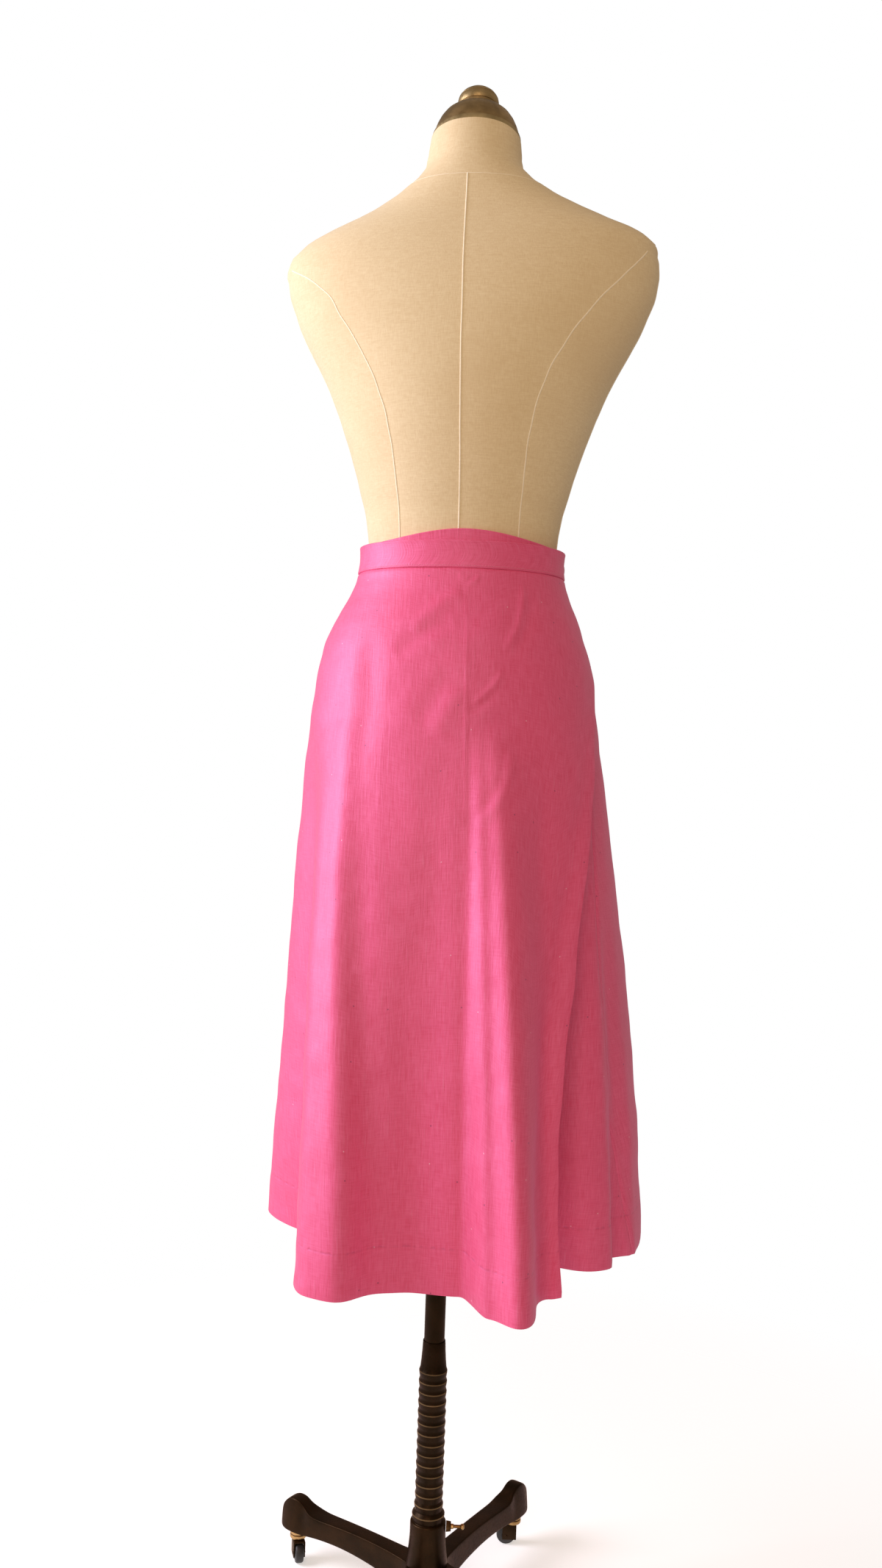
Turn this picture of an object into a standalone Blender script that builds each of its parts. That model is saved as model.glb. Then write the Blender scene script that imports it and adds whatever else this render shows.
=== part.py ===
"""A midi wrap skirt worn on a limbless dress form, on a cast stand with four casters.

Metres, +Z up. The floor is z = 0, the side with the wrap's overlap faces -Y, and the origin is on
the floor under the middle of the bounding box. Everything is measured from the stand's upright axis.

The skirt is one spiral round the form. A wrap angle, in degrees, runs along that spiral: it starts
at the hidden edge of the under flap, passes the right side seam, the front panel and the left side
seam, and ends at the free edge of the over flap, more than a full turn later.
"""

import math

import bmesh
import bpy
import numpy as np

# ---- driving dimensions -------------------------------------------------------------------------

AXIS_X = -0.0095           # the stand's axis, from the middle of the bounding box
AXIS_Y = 0.0407
GAP = 0.0003               # between pieces that touch
FORM_RISE = 0.020          # the form's, skirt's and post's own heights start this far over the floor

CLOTH = 0.0015             # wall of a skirt panel
BAND_CLOTH = 0.0022        # wall of the folded and stitched waistband
BAND_HEIGHT = 0.028
BAND_PROUD = 0.0005        # the band stands this far outside the panels
SEAM_Z = 1.139             # where the panels are sewn to the band
HEM_Z = 0.438
HIP_Z = 0.970              # folds have run out at about this height
WRAP_PITCH = 0.0036        # from one layer to the layer under it, per full turn
HEM_LAYER_GAP = 0.007      # the same, at the hem, where the layers hang apart
BAND_START = 200.0         # wrap angles of the band's two ends
BAND_END = 745.0
UNDER_RISE = 0.013         # the inner turn of the band rides up by this at the middle
RISE_FROM = 205.0          # and it does so between these wrap angles
RISE_TO = 350.0
FOLD_GROWTH = 0.9          # below 1, a fold opens quickly under its start
FOLD_DRIFT = 1.4           # how late a fold leaves its angle at the hem

BUTTON_RADIUS = 0.009
BUTTON_THICK = 0.0035
BUTTON_ANGLE = 738.0

NECK_TILT = math.radians(10)
TORSO_SIDES = 28
ROUNDNESS = 2.12           # exponent of all sections round the form: 2 is an ellipse
PANEL_ROWS = 18            # the same on all panels, so that their seams match
ROW_CROWD = 1.25           # above 1, a panel's rows get closer towards the waist
EDGE_CROWD = 0.75          # how much narrower a panel's columns get towards its edges

POST_RADIUS = 0.0114
POST_BOTTOM = 0.050
FLANGE_RADIUS = 0.040
FLANGE_THICK = 0.006
SLEEVE_BORE = 0.0121
SLEEVE_RADIUS = 0.0158
SLEEVE_GROOVE = 0.0146
SLEEVE_BOTTOM = 0.1108
SLEEVE_TOP = 0.2835        # where its rings begin, under its tapered mouth
SLEEVE_MOUTH = 0.030
RING_COUNT = 15
SLEEVE_FLARE = 0.0030      # the lowest rings widen towards the hub
FLARED_FROM = 13
HUB_RADIUS = 0.0235        # at its foot, where the legs are bolted on
HUB_COLLAR = 0.0200        # the radius of its upper part
HUB_BOTTOM = 0.020
HUB_TOP = 0.1105
CONE_TOP = 0.096           # from here the hub widens down to its foot
CONE_FOOT = 0.060
SCREW_HEIGHT = 0.1040
SCREW_TURN = math.radians(5)

LEG_COUNT = 4
LEG_TURN = math.radians(61.5)
CASTER_REACH = 0.186       # from the axis to a caster's upright
WHEEL_RADIUS = 0.0115
WHEEL_WIDTH = 0.0100
WHEEL_TRAIL = 0.008
WHEEL_SIDES = 20
FORK_HALF_LENGTH = 0.0085
FORK_PLATE_Z = 0.0238
FORK_TOP_Z = 0.0258
CHEEK = 0.0016
CHEEK_GAP = 0.0004
RING_TOP_Z = 0.0365

# Outer surface of the skirt with no folds: half widths to the form's left and right in the picture,
# and depths to its overlap side (back) and its plain side (front), at each height.
SECTIONS = [
    # height, left,  right,  back,   front
    (0.438, 0.1880, 0.2230, 0.2290, 0.1900),
    (0.512, 0.1860, 0.2190, 0.2200, 0.1830),
    (0.609, 0.1810, 0.2100, 0.2060, 0.1740),
    (0.706, 0.1770, 0.1980, 0.1910, 0.1640),
    (0.804, 0.1740, 0.1845, 0.1740, 0.1530),
    (0.900, 0.1680, 0.1705, 0.1545, 0.1410),
    (0.950, 0.1645, 0.1635, 0.1440, 0.1330),
    (1.000, 0.1590, 0.1550, 0.1340, 0.1260),
    (1.047, 0.1520, 0.1450, 0.1245, 0.1185),
    (1.072, 0.1450, 0.1370, 0.1180, 0.1125),
    (1.096, 0.1335, 0.1290, 0.1085, 0.1050),
    (1.120, 0.1205, 0.1190, 0.0995, 0.0975),
    (1.139, 0.1150, 0.1135, 0.0950, 0.0935),
    (1.170, 0.1130, 0.1125, 0.0935, 0.0925),
]

# Crests and valleys round the skirt, in order of wrap angle. Between two rows the cloth swings from
# one to the other in a smooth wave. The radius is the one at the hem, the drop is how much lower the
# hem hangs there, and the fold runs out at the height where it begins.
FOLDS = [
    # name,            at hem, at hip, radius, drop,  begins
    ("under_edge",      214.0, 200.0, 0.146, 0.000, 1.00),
    ("under_hollow",    228.0, 208.0, 0.149, 0.000, 1.00),
    ("under_swell",     250.0, 232.0, 0.198, 0.000, 1.00),
    ("under_middle",    270.0, 266.0, 0.190, 0.000, 1.00),
    ("under_crest",     290.0, 289.0, 0.214, 0.002, 0.98),
    ("under_valley",    305.0, 310.0, 0.188, 0.003, 0.98),
    ("right_swell",     325.5, 328.0, 0.228, 0.004, 0.90),
    ("right_notch",     333.0, 337.0, 0.216, 0.005, 0.80),
    ("right_seam",      342.0, 347.0, 0.228, 0.006, 0.90),
    ("right_side",      354.0, 358.0, 0.226, 0.006, 0.98),
    ("front_valley_a",  374.0, 374.0, 0.203, 0.000, 0.96),
    ("front_crest_a",   393.0, 389.0, 0.226, 0.002, 0.98),
    ("front_valley_b",  415.0, 411.0, 0.184, 0.000, 0.97),
    ("front_crest_b",   437.0, 434.0, 0.206, 0.002, 0.99),
    ("front_valley_c",  456.0, 455.0, 0.176, 0.000, 0.95),
    ("front_crest_c",   478.0, 474.0, 0.204, 0.002, 0.97),
    ("front_valley_d",  500.0, 498.0, 0.174, 0.000, 0.96),
    ("front_crest_d",   519.0, 515.0, 0.195, 0.000, 0.98),
    ("left_hollow",     533.0, 531.0, 0.182, 0.000, 0.93),
    ("left_side",       547.0, 543.0, 0.190, 0.000, 0.98),
    ("left_valley",     585.0, 560.0, 0.156, 0.005, 0.98),
    ("left_fold",       608.0, 583.0, 0.271, 0.006, 0.98),
    ("back_valley",     630.0, 629.0, 0.228, 0.004, 1.00),
    ("lobe_foot",       641.0, 640.0, 0.237, 0.003, 1.00),
    ("lobe_face",       645.5, 646.0, 0.274, 0.010, 0.98),
    ("lobe",            650.5, 651.5, 0.299, 0.009, 0.98),
    ("edge_valley",     661.5, 672.0, 0.246, 0.007, 0.86),
    ("over_edge",       664.5, 706.0, 0.251, 0.004, 0.95),
]

# Wrap angles of the panels' upright edges and seams at each height.
EDGES = [
    # height, under edge, right seam, left seam, over edge
    (0.438, 214.0, 340.0, 548.0, 664.0),
    (0.540, 210.0, 335.0, 547.0, 664.5),
    (0.620, 207.5, 331.5, 546.0, 667.0),
    (0.715, 205.0, 331.0, 545.0, 673.0),
    (0.838, 203.0, 335.0, 543.0, 684.5),
    (0.924, 201.5, 340.0, 542.0, 696.0),
    (1.000, 201.0, 346.0, 541.0, 708.0),
    (1.139, 200.0, 358.0, 540.0, 745.0),
]

# Sections of the dress form: half widths to its left and right in the picture, and depths to its back
# and its front.
TORSO = [
    # height, left,  right,  back,   front
    (0.925, 0.1180, 0.1180, 0.0850, 0.0800),
    (0.937, 0.1330, 0.1330, 0.1020, 0.0960),
    (0.980, 0.1400, 0.1400, 0.1160, 0.1080),
    (1.030, 0.1320, 0.1320, 0.1080, 0.1030),
    (1.085, 0.1150, 0.1150, 0.0950, 0.0930),
    (1.130, 0.1030, 0.1030, 0.0850, 0.0840),
    (1.165, 0.1025, 0.1025, 0.0835, 0.0825),
    (1.187, 0.1045, 0.1045, 0.0845, 0.0835),
    (1.227, 0.1135, 0.1135, 0.0915, 0.0940),
    (1.259, 0.1225, 0.1225, 0.0980, 0.1070),
    (1.292, 0.1335, 0.1335, 0.1040, 0.1200),
    (1.324, 0.1455, 0.1455, 0.1080, 0.1270),
    (1.357, 0.1605, 0.1600, 0.1100, 0.1230),
    (1.389, 0.1780, 0.1770, 0.1090, 0.1130),
    (1.422, 0.1920, 0.1920, 0.1050, 0.1020),
    (1.454, 0.2010, 0.2015, 0.0980, 0.0910),
    (1.472, 0.2020, 0.2025, 0.0920, 0.0840),
    (1.487, 0.1920, 0.2000, 0.0860, 0.0770),
    (1.503, 0.1690, 0.1930, 0.0790, 0.0710),
    (1.520, 0.1330, 0.1580, 0.0720, 0.0660),
    (1.536, 0.1030, 0.1200, 0.0665, 0.0620),
    (1.552, 0.0790, 0.0870, 0.0615, 0.0590),
    (1.567, 0.0610, 0.0640, 0.0570, 0.0560),
    (1.585, 0.0530, 0.0520, 0.0525, 0.0525),
    (1.599, 0.0508, 0.0502, 0.0502, 0.0502),
    (1.610, 0.0492, 0.0490, 0.0490, 0.0490),
]
TILT_FROM = 1.520          # the neck leans forward from here to its top

# Profile of the neck cap and its finial, from the top down, above the neck.
CAP_PROFILE = [
    # radius, height
    (0.0000, 0.0650),
    (0.0090, 0.0640),
    (0.0160, 0.0606),
    (0.0206, 0.0560),
    (0.0224, 0.0500),
    (0.0222, 0.0452),
    (0.0206, 0.0408),
    (0.0238, 0.0386),
    (0.0312, 0.0348),
    (0.0386, 0.0278),
    (0.0440, 0.0180),
    (0.0470, 0.0085),
    (0.0484, 0.0045),
    (0.0484, 0.0000),
    (0.0000, 0.0000),
]

# Sections of a cast leg from the hub outwards.
LEG = [
    # reach, mid height, width, height
    (0.0242, 0.0450, 0.0250, 0.0340),
    (0.0340, 0.0460, 0.0230, 0.0330),
    (0.0480, 0.0480, 0.0215, 0.0305),
    (0.0660, 0.0500, 0.0205, 0.0280),
    (0.0870, 0.0515, 0.0200, 0.0260),
    (0.1090, 0.0523, 0.0205, 0.0240),
    (0.1310, 0.0520, 0.0215, 0.0232),
    (0.1490, 0.0510, 0.0228, 0.0236),
    (0.1640, 0.0515, 0.0245, 0.0270),
    (0.1755, 0.0545, 0.0275, 0.0350),
    (0.1850, 0.0557, 0.0290, 0.0374),
    (0.1955, 0.0550, 0.0280, 0.0360),
    (0.2025, 0.0527, 0.0230, 0.0300),
    (0.2065, 0.0505, 0.0140, 0.0200),
]
LEG_SIDES = 10
CASTER_TURNS = [95.5, 200.0, 310.0, 115.0]   # degrees, one row for each caster

# ---- collections, materials and plain helpers ---------------------------------------------------

for old in list(bpy.data.objects):
    bpy.data.objects.remove(old, do_unlink=True)

parts = bpy.data.collections.new("wrap_skirt_on_dress_form")
bpy.context.scene.collection.children.link(parts)


def material(name, colour, roughness, metallic=0.0):
    """A plain Principled material."""
    made = bpy.data.materials.new(name)
    made.use_nodes = True
    shader = made.node_tree.nodes["Principled BSDF"]
    shader.inputs["Base Color"].default_value = (*colour, 1.0)
    shader.inputs["Roughness"].default_value = roughness
    shader.inputs["Metallic"].default_value = metallic
    return made


LINEN = material("pink_linen", (0.72, 0.11, 0.21), 0.80)
SHELL_BUTTON = material("shell_button", (0.70, 0.22, 0.30), 0.35)
CANVAS = material("form_canvas", (0.52, 0.39, 0.26), 0.85)
BRONZE = material("aged_bronze", (0.16, 0.10, 0.05), 0.45, 0.8)
IRON = material("bronzed_iron", (0.035, 0.020, 0.012), 0.45, 0.7)
BRASS = material("worn_brass", (0.42, 0.27, 0.11), 0.35, 1.0)
RUBBER = material("caster_wheel", (0.010, 0.010, 0.010), 0.50)


def empty(name, place, above=None):
    """An empty that carries pieces."""
    made = bpy.data.objects.new(name, None)
    made.location = place
    made.parent = above
    parts.objects.link(made)
    return made


def keep(piece, name, finish, carrier, place=(0, 0, 0), turn=(0, 0, 0)):
    """Name a piece, give it its material and hang it on what carries it."""
    for home in list(piece.users_collection):
        home.objects.unlink(piece)
    parts.objects.link(piece)
    piece.name = name
    piece.data.name = name
    piece.data.materials.clear()
    piece.data.materials.append(finish)
    piece.parent = carrier
    piece.location = place
    piece.rotation_euler = turn
    return piece


def shade(piece, angle=40):
    """Smooth shading, with edges sharper than the angle left crisp."""
    piece.data.shade_smooth()
    piece.data.set_sharp_from_angle(angle=math.radians(angle))


def mesh_object(built):
    """An object from a finished bmesh."""
    mesh = bpy.data.meshes.new("built")
    built.to_mesh(mesh)
    built.free()
    made = bpy.data.objects.new("built", mesh)
    parts.objects.link(made)
    return made


def turned(profile, steps, start=0.0, bored=False):
    """A piece turned about its own Z from (radius, height) pairs, outer side from top to bottom.

    A bored piece's profile is closed on itself, so that it never meets the axis.
    """
    built = bmesh.new()
    points = [
        built.verts.new((radius * math.cos(start), radius * math.sin(start), height))
        for radius, height in profile
    ]
    for upper, lower in zip(points, points[1:]):
        built.edges.new((upper, lower))
    if bored:
        built.edges.new((points[-1], points[0]))
    made = mesh_object(built)
    screw = made.modifiers.new("turn", "SCREW")
    screw.steps = steps
    screw.render_steps = steps
    screw.use_merge_vertices = True
    screw.merge_threshold = 0.0001
    return made


def loft(rings):
    """A closed skin over rings of equally many points, listed so that each runs anticlockwise."""
    built = bmesh.new()
    rows = [[built.verts.new(point) for point in ring] for ring in rings]
    count = len(rows[0])
    for lower, upper in zip(rows, rows[1:]):
        for i in range(count):
            j = (i + 1) % count
            built.faces.new((lower[i], lower[j], upper[j], upper[i]))
    built.faces.new(list(reversed(rows[0])))
    built.faces.new(rows[-1])
    bmesh.ops.triangulate(built, faces=[f for f in built.faces if len(f.verts) > 4])
    return mesh_object(built)


def smooth(share):
    """A soft step from 0 to 1."""
    share = min(max(share, 0.0), 1.0)
    return share * share * (3.0 - 2.0 * share)


def column(table, index):
    """One column of a table."""
    return [row[index] for row in table]


def at_height(table, index, height):
    """A column of a table read at a height, which is the table's first column."""
    return float(np.interp(height, column(table, 0), column(table, index)))


def oval(angle, right, left, front, back, roundness):
    """Radius at an angle of an oval whose four half axes differ."""
    across = math.cos(angle)
    along = math.sin(angle)
    wide = right if across > 0 else left
    deep = front if along > 0 else back
    total = abs(across / wide) ** roundness + abs(along / deep) ** roundness
    return total ** (-1.0 / roundness)


# ---- the skirt's surface ------------------------------------------------------------------------


def section_radius(wrap, height):
    """Radius of the skirt with no folds."""
    left, right, back, front = (at_height(SECTIONS, i, height) for i in (1, 2, 3, 4))
    return oval(math.radians(wrap), right, left, front, back, ROUNDNESS)


FOLD_SWING = [row[3] - section_radius(row[1], HEM_Z) for row in FOLDS]


def between_folds(wrap, angles, values):
    """A value that swings smoothly from one fold row to the next."""
    if wrap <= angles[0]:
        return values[0]
    for i in range(len(angles) - 1):
        if wrap <= angles[i + 1]:
            share = smooth((wrap - angles[i]) / (angles[i + 1] - angles[i]))
            return values[i] + (values[i + 1] - values[i]) * share
    return values[-1]


def fold_angles(height):
    """Where each fold row lies at a height: folds drift sideways on their way up."""
    rise = max(height - HEM_Z, 0.0) / (HIP_Z - HEM_Z)
    drift = min(rise, 1.0) ** FOLD_DRIFT
    return [at_hem + (at_hip - at_hem) * drift for _, at_hem, at_hip, *_ in FOLDS]


def fold_swing(wrap, height):
    """How far the folds push the cloth out, or let it in."""
    swings = []
    for row, swing in zip(FOLDS, FOLD_SWING):
        opened = min(max((row[5] - height) / (row[5] - HEM_Z), 0.0), 1.0)
        swings.append(swing * opened ** FOLD_GROWTH)
    return between_folds(wrap, fold_angles(height), swings)


def layer_radius(wrap, height):
    """Radius of the wrapped cloth before an inner layer is held inside the outer one."""
    pitch_in = WRAP_PITCH * (BAND_END - wrap) / 360.0
    return section_radius(wrap, height) + fold_swing(wrap, height) - pitch_in


def skirt_radius(wrap, height):
    """Radius of the skirt's outer surface: an inner layer stays inside the layer over it."""
    radius = layer_radius(wrap, height)
    left_seam = EDGES[-1][3]
    if wrap < left_seam:
        fallen = (SEAM_Z - height) / (SEAM_Z - HEM_Z)
        gap = WRAP_PITCH + (HEM_LAYER_GAP - WRAP_PITCH) * min(max(fallen, 0.0), 1.0)
        radius = min(radius, layer_radius(wrap + 360.0, height) - gap)
    return radius


def seam_height(wrap):
    """Height of the seam between panel and band."""
    share = (wrap - RISE_FROM) / (RISE_TO - RISE_FROM)
    if not 0.0 < share < 1.0:
        return SEAM_Z
    return SEAM_Z + UNDER_RISE * math.sin(math.pi * share) ** 2


def hem_height(wrap):
    """Height of the hem."""
    return HEM_Z - between_folds(wrap, fold_angles(HEM_Z), column(FOLDS, 4))


def skirt_point(wrap, height, proud=0.0):
    """A point on the skirt's outer surface, or this far outside it."""
    radius = skirt_radius(wrap, height) + proud
    angle = math.radians(wrap)
    return (radius * math.cos(angle), radius * math.sin(angle), height)


def sheet(columns, rows, place, wall):
    """A grid bent to the place that each of its points has, with a wall inside it."""
    bpy.ops.mesh.primitive_grid_add(x_subdivisions=columns, y_subdivisions=rows, size=1.0)
    made = bpy.context.object
    for vertex in made.data.vertices:
        vertex.co = place(vertex.co.x + 0.5, vertex.co.y + 0.5)
    solid = made.modifiers.new("wall", "SOLIDIFY")
    solid.thickness = wall
    solid.offset = -1.0
    solid.use_even_offset = True
    solid.use_quality_normals = True
    shade(made, 60)
    return made


def panel(name, start_column, end_column, columns):
    """A skirt panel between two edges of the EDGES table, from the hem up to the band."""
    hem_start = EDGES[0][start_column]
    hem_end = EDGES[0][end_column]
    wraps = np.linspace(hem_start, hem_end, 400)
    hem = np.array([skirt_point(wrap, HEM_Z) for wrap in wraps])
    run = np.concatenate([[0.0], np.cumsum(np.linalg.norm(np.diff(hem, axis=0), axis=1))])
    shares = (wraps - hem_start) / (hem_end - hem_start)

    def place(along, up):
        """Columns are even along the hem but narrow at the edges, and rows crowd to the waist."""
        along -= EDGE_CROWD * math.sin(2.0 * math.pi * along) / (2.0 * math.pi)
        share = float(np.interp(along * run[-1], run, shares))
        lift = 1.0 - (1.0 - up) ** ROW_CROWD
        height = HEM_Z + (SEAM_Z - HEM_Z) * lift
        start = at_height(EDGES, start_column, height)
        end = at_height(EDGES, end_column, height)
        half_gap = math.degrees(0.5 * GAP / section_radius(start, height))
        wrap = (start + half_gap) + (end - start - 2.0 * half_gap) * share
        foot = hem_height(wrap)
        head = seam_height(wrap) - 0.5 * GAP
        return skirt_point(wrap, foot + (head - foot) * lift)

    return keep(sheet(columns, PANEL_ROWS, place, CLOTH), name, LINEN, form)


def band_place(along, up):
    """A point of the waistband, one strip that follows the whole spiral."""
    wrap = BAND_START + (BAND_END - BAND_START) * along
    height = seam_height(wrap) + 0.5 * GAP + BAND_HEIGHT * up
    return skirt_point(wrap, height, BAND_PROUD)


# ---- what stands on the floor and what slides in it ---------------------------------------------

stand = empty("stand", (AXIS_X, AXIS_Y, 0.0))
form = empty("form", (0.0, 0.0, FORM_RISE), stand)

panel("front_panel", 2, 3, 36)
panel("under_flap", 1, 2, 26)
panel("over_flap", 3, 4, 44)
keep(sheet(64, 2, band_place, BAND_CLOTH), "waistband", LINEN, form)


def make_button():
    """The button on the over end of the band, facing straight out of it."""
    height = SEAM_Z + 0.5 * BAND_HEIGHT
    before = np.array(skirt_point(BUTTON_ANGLE - 1.0, height, BAND_PROUD))
    after = np.array(skirt_point(BUTTON_ANGLE + 1.0, height, BAND_PROUD))
    along = (after - before) / np.linalg.norm(after - before)
    outward = np.array([along[1], -along[0], 0.0])
    middle = 0.5 * (before + after) + outward * (0.5 * BUTTON_THICK + 2.0 * GAP)
    bpy.ops.mesh.primitive_cylinder_add(vertices=20, radius=BUTTON_RADIUS, depth=BUTTON_THICK)
    button = bpy.context.object
    edge = button.modifiers.new("edge", "BEVEL")
    edge.width = 0.0008
    edge.segments = 2
    edge.limit_method = "ANGLE"
    shade(button)
    facing = math.atan2(outward[1], outward[0])
    keep(button, "waistband_button", SHELL_BUTTON, form, middle, (0.0, math.pi / 2, facing))


def make_torso():
    """The padded form: sections from its base up to the leaning neck, capped flat at both ends."""
    top = TORSO[-1][0]
    rings = []
    for height, left, right, back, front in TORSO:
        lean = math.tan(NECK_TILT) * smooth((height - TILT_FROM) / (top - TILT_FROM))
        ring = []
        for i in range(TORSO_SIDES):
            angle = 2.0 * math.pi * i / TORSO_SIDES
            radius = oval(angle, right, left, front, back, ROUNDNESS)
            y = radius * math.sin(angle)
            ring.append((radius * math.cos(angle), y, height - lean * y))
        rings.append(ring)
    torso = loft(rings)
    shade(torso, 50)
    keep(torso, "torso", CANVAS, form)


def make_neck_cap():
    """The turned cap on the neck, leaning with it."""
    cap = turned(CAP_PROFILE, 24)
    shade(cap, 50)
    foot = TORSO[-1][0] + GAP / math.cos(NECK_TILT)
    keep(cap, "neck_cap", BRONZE, form, (0.0, 0.0, foot), (-NECK_TILT, 0.0, 0.0))


def make_post():
    """The post that slides in the sleeve, and the plate that carries the form on it."""
    flange_top = TORSO[0][0] - GAP
    flange_bottom = flange_top - FLANGE_THICK
    post_top = flange_bottom - GAP
    post = turned(
        [(0.0, post_top), (POST_RADIUS, post_top), (POST_RADIUS, POST_BOTTOM), (0.0, POST_BOTTOM)],
        16,
    )
    shade(post)
    keep(post, "post", IRON, form)
    flange = turned(
        [
            (0.0, flange_top),
            (FLANGE_RADIUS - 0.001, flange_top),
            (FLANGE_RADIUS, flange_top - 0.001),
            (FLANGE_RADIUS, flange_bottom + 0.001),
            (FLANGE_RADIUS - 0.001, flange_bottom),
            (0.0, flange_bottom),
        ],
        24,
    )
    shade(flange)
    keep(flange, "post_flange", IRON, form)


def make_sleeve():
    """The ringed sleeve: a tube with a tapered mouth and cast rings down its outside."""
    mouth = SLEEVE_TOP + SLEEVE_MOUTH
    outside = [(SLEEVE_BORE + 0.0012, mouth), (SLEEVE_GROOVE, SLEEVE_TOP)]
    pitch = (SLEEVE_TOP - SLEEVE_BOTTOM) / RING_COUNT
    for i in range(RING_COUNT):
        top = SLEEVE_TOP - i * pitch
        flare = SLEEVE_FLARE * smooth((i + 0.5 - FLARED_FROM) / (RING_COUNT - FLARED_FROM))
        outside.append((SLEEVE_RADIUS + flare, top - 0.35 * pitch))
        outside.append((SLEEVE_GROOVE + flare, top - 0.95 * pitch))
    outside.append((SLEEVE_GROOVE + SLEEVE_FLARE, SLEEVE_BOTTOM))
    bore = [(SLEEVE_BORE, SLEEVE_BOTTOM), (SLEEVE_BORE, mouth)]
    sleeve = turned(outside + bore, 16, bored=True)
    shade(sleeve)
    keep(sleeve, "sleeve", IRON, stand)


def make_hub():
    """The conical cast hub that the legs are bolted to, bored through for the post."""
    outside = [
        (HUB_COLLAR - 0.0010, HUB_TOP),
        (HUB_COLLAR, HUB_TOP - 0.0015),
        (HUB_COLLAR, CONE_TOP),
        (HUB_RADIUS, CONE_FOOT),
        (HUB_RADIUS, HUB_BOTTOM + 0.0060),
        (HUB_RADIUS - 0.0050, HUB_BOTTOM),
    ]
    bore = [(SLEEVE_BORE, HUB_BOTTOM), (SLEEVE_BORE, HUB_TOP)]
    hub = turned(outside + bore, 24, bored=True)
    shade(hub)
    keep(hub, "hub", IRON, stand)


def make_clamp():
    """The boss on the hub and the thumb screw that holds the post in it."""
    sideways = (0.0, math.pi / 2, SCREW_TURN)
    foot = HUB_COLLAR + GAP
    place = (foot * math.cos(SCREW_TURN), foot * math.sin(SCREW_TURN), SCREW_HEIGHT)
    screw_axis = empty("clamp_axis", place, stand)
    bore = 0.0034
    boss = turned([(0.0050, 0.0055), (0.0058, 0.0), (bore, 0.0), (bore, 0.0055)], 16, bored=True)
    shade(boss)
    keep(boss, "clamp_boss", IRON, screw_axis, turn=sideways)
    screw = turned(
        [
            (0.0000, 0.0205),
            (0.0026, 0.0203),
            (0.0038, 0.0190),
            (0.0040, 0.0100),
            (0.0030, 0.0085),
            (0.0027, 0.0080),
            (0.0027, 0.0005),
            (0.0000, 0.0005),
        ],
        16,
    )
    shade(screw)
    keep(screw, "clamp_screw", BRASS, screw_axis, turn=sideways)


def leg_ring(reach, mid, width, height):
    """One rounded section of a leg that runs along +X."""
    ring = []
    for i in range(LEG_SIDES):
        angle = 2.0 * math.pi * (i + 0.5) / LEG_SIDES
        radius = oval(angle, 0.5 * width, 0.5 * width, 0.5 * height, 0.5 * height, 2.8)
        ring.append((reach, radius * math.cos(angle), mid + radius * math.sin(angle)))
    return ring


def fork_outline(half_width):
    """The caster fork's arch: a plate over the wheel with a cheek down each side."""
    inner = half_width - CHEEK
    cheek_end = 0.0070
    return [
        (-half_width, cheek_end),
        (-inner, cheek_end),
        (-inner, FORK_PLATE_Z),
        (inner, FORK_PLATE_Z),
        (inner, cheek_end),
        (half_width, cheek_end),
        (half_width, FORK_TOP_Z - 0.0010),
        (half_width - 0.0010, FORK_TOP_Z),
        (-half_width + 0.0010, FORK_TOP_Z),
        (-half_width, FORK_TOP_Z - 0.0010),
    ]


def make_caster(number, turn):
    """A leg's caster: a brass ring under the foot, a fork that swivels and a wheel that rolls."""
    leg_angle = LEG_TURN + 2.0 * math.pi * number / LEG_COUNT
    place = (CASTER_REACH * math.cos(leg_angle), CASTER_REACH * math.sin(leg_angle), 0.0)
    swivel = empty(f"swivel_{number}", place, stand)

    ring = turned(
        [
            (0.0000, RING_TOP_Z),
            (0.0085, RING_TOP_Z),
            (0.0098, 0.0350),
            (0.0098, 0.0325),
            (0.0082, 0.0312),
            (0.0098, 0.0299),
            (0.0098, 0.0274),
            (0.0085, FORK_TOP_Z + GAP),
            (0.0000, FORK_TOP_Z + GAP),
        ],
        14,
    )
    shade(ring, 30)
    keep(ring, f"caster_ring_{number}", BRASS, swivel)

    half_width = 0.5 * WHEEL_WIDTH + CHEEK_GAP + CHEEK
    arch = bpy.data.curves.new("arch", "CURVE")
    arch.dimensions = "2D"
    arch.fill_mode = "BOTH"
    arch.extrude = FORK_HALF_LENGTH
    line = arch.splines.new("POLY")
    outline = fork_outline(half_width)
    line.points.add(len(outline) - 1)
    for point, (x, y) in zip(line.points, outline):
        point.co = (x, y, 0.0, 1.0)
    line.use_cyclic_u = True
    fork = bpy.data.objects.new("fork", arch)
    parts.objects.link(fork)
    facing = math.radians(turn)
    ahead = (-math.sin(facing), math.cos(facing))
    middle = (0.5 * WHEEL_TRAIL * ahead[0], 0.5 * WHEEL_TRAIL * ahead[1], 0.0)
    keep(fork, f"caster_fork_{number}", IRON, swivel, middle, (math.pi / 2, 0.0, facing))

    axle_z = WHEEL_RADIUS * math.cos(math.pi / WHEEL_SIDES)
    axle = empty(f"axle_{number}", (WHEEL_TRAIL * ahead[0], WHEEL_TRAIL * ahead[1], axle_z), swivel)
    half = 0.5 * WHEEL_WIDTH
    wheel = turned(
        [
            (0.0, half),
            (WHEEL_RADIUS - 0.0018, half),
            (WHEEL_RADIUS, half - 0.0018),
            (WHEEL_RADIUS, 0.0018 - half),
            (WHEEL_RADIUS - 0.0018, -half),
            (0.0, -half),
        ],
        WHEEL_SIDES,
        start=math.pi / WHEEL_SIDES,
    )
    shade(wheel, 30)
    keep(wheel, f"caster_wheel_{number}", RUBBER, axle, turn=(0.0, math.pi / 2, facing))


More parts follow.
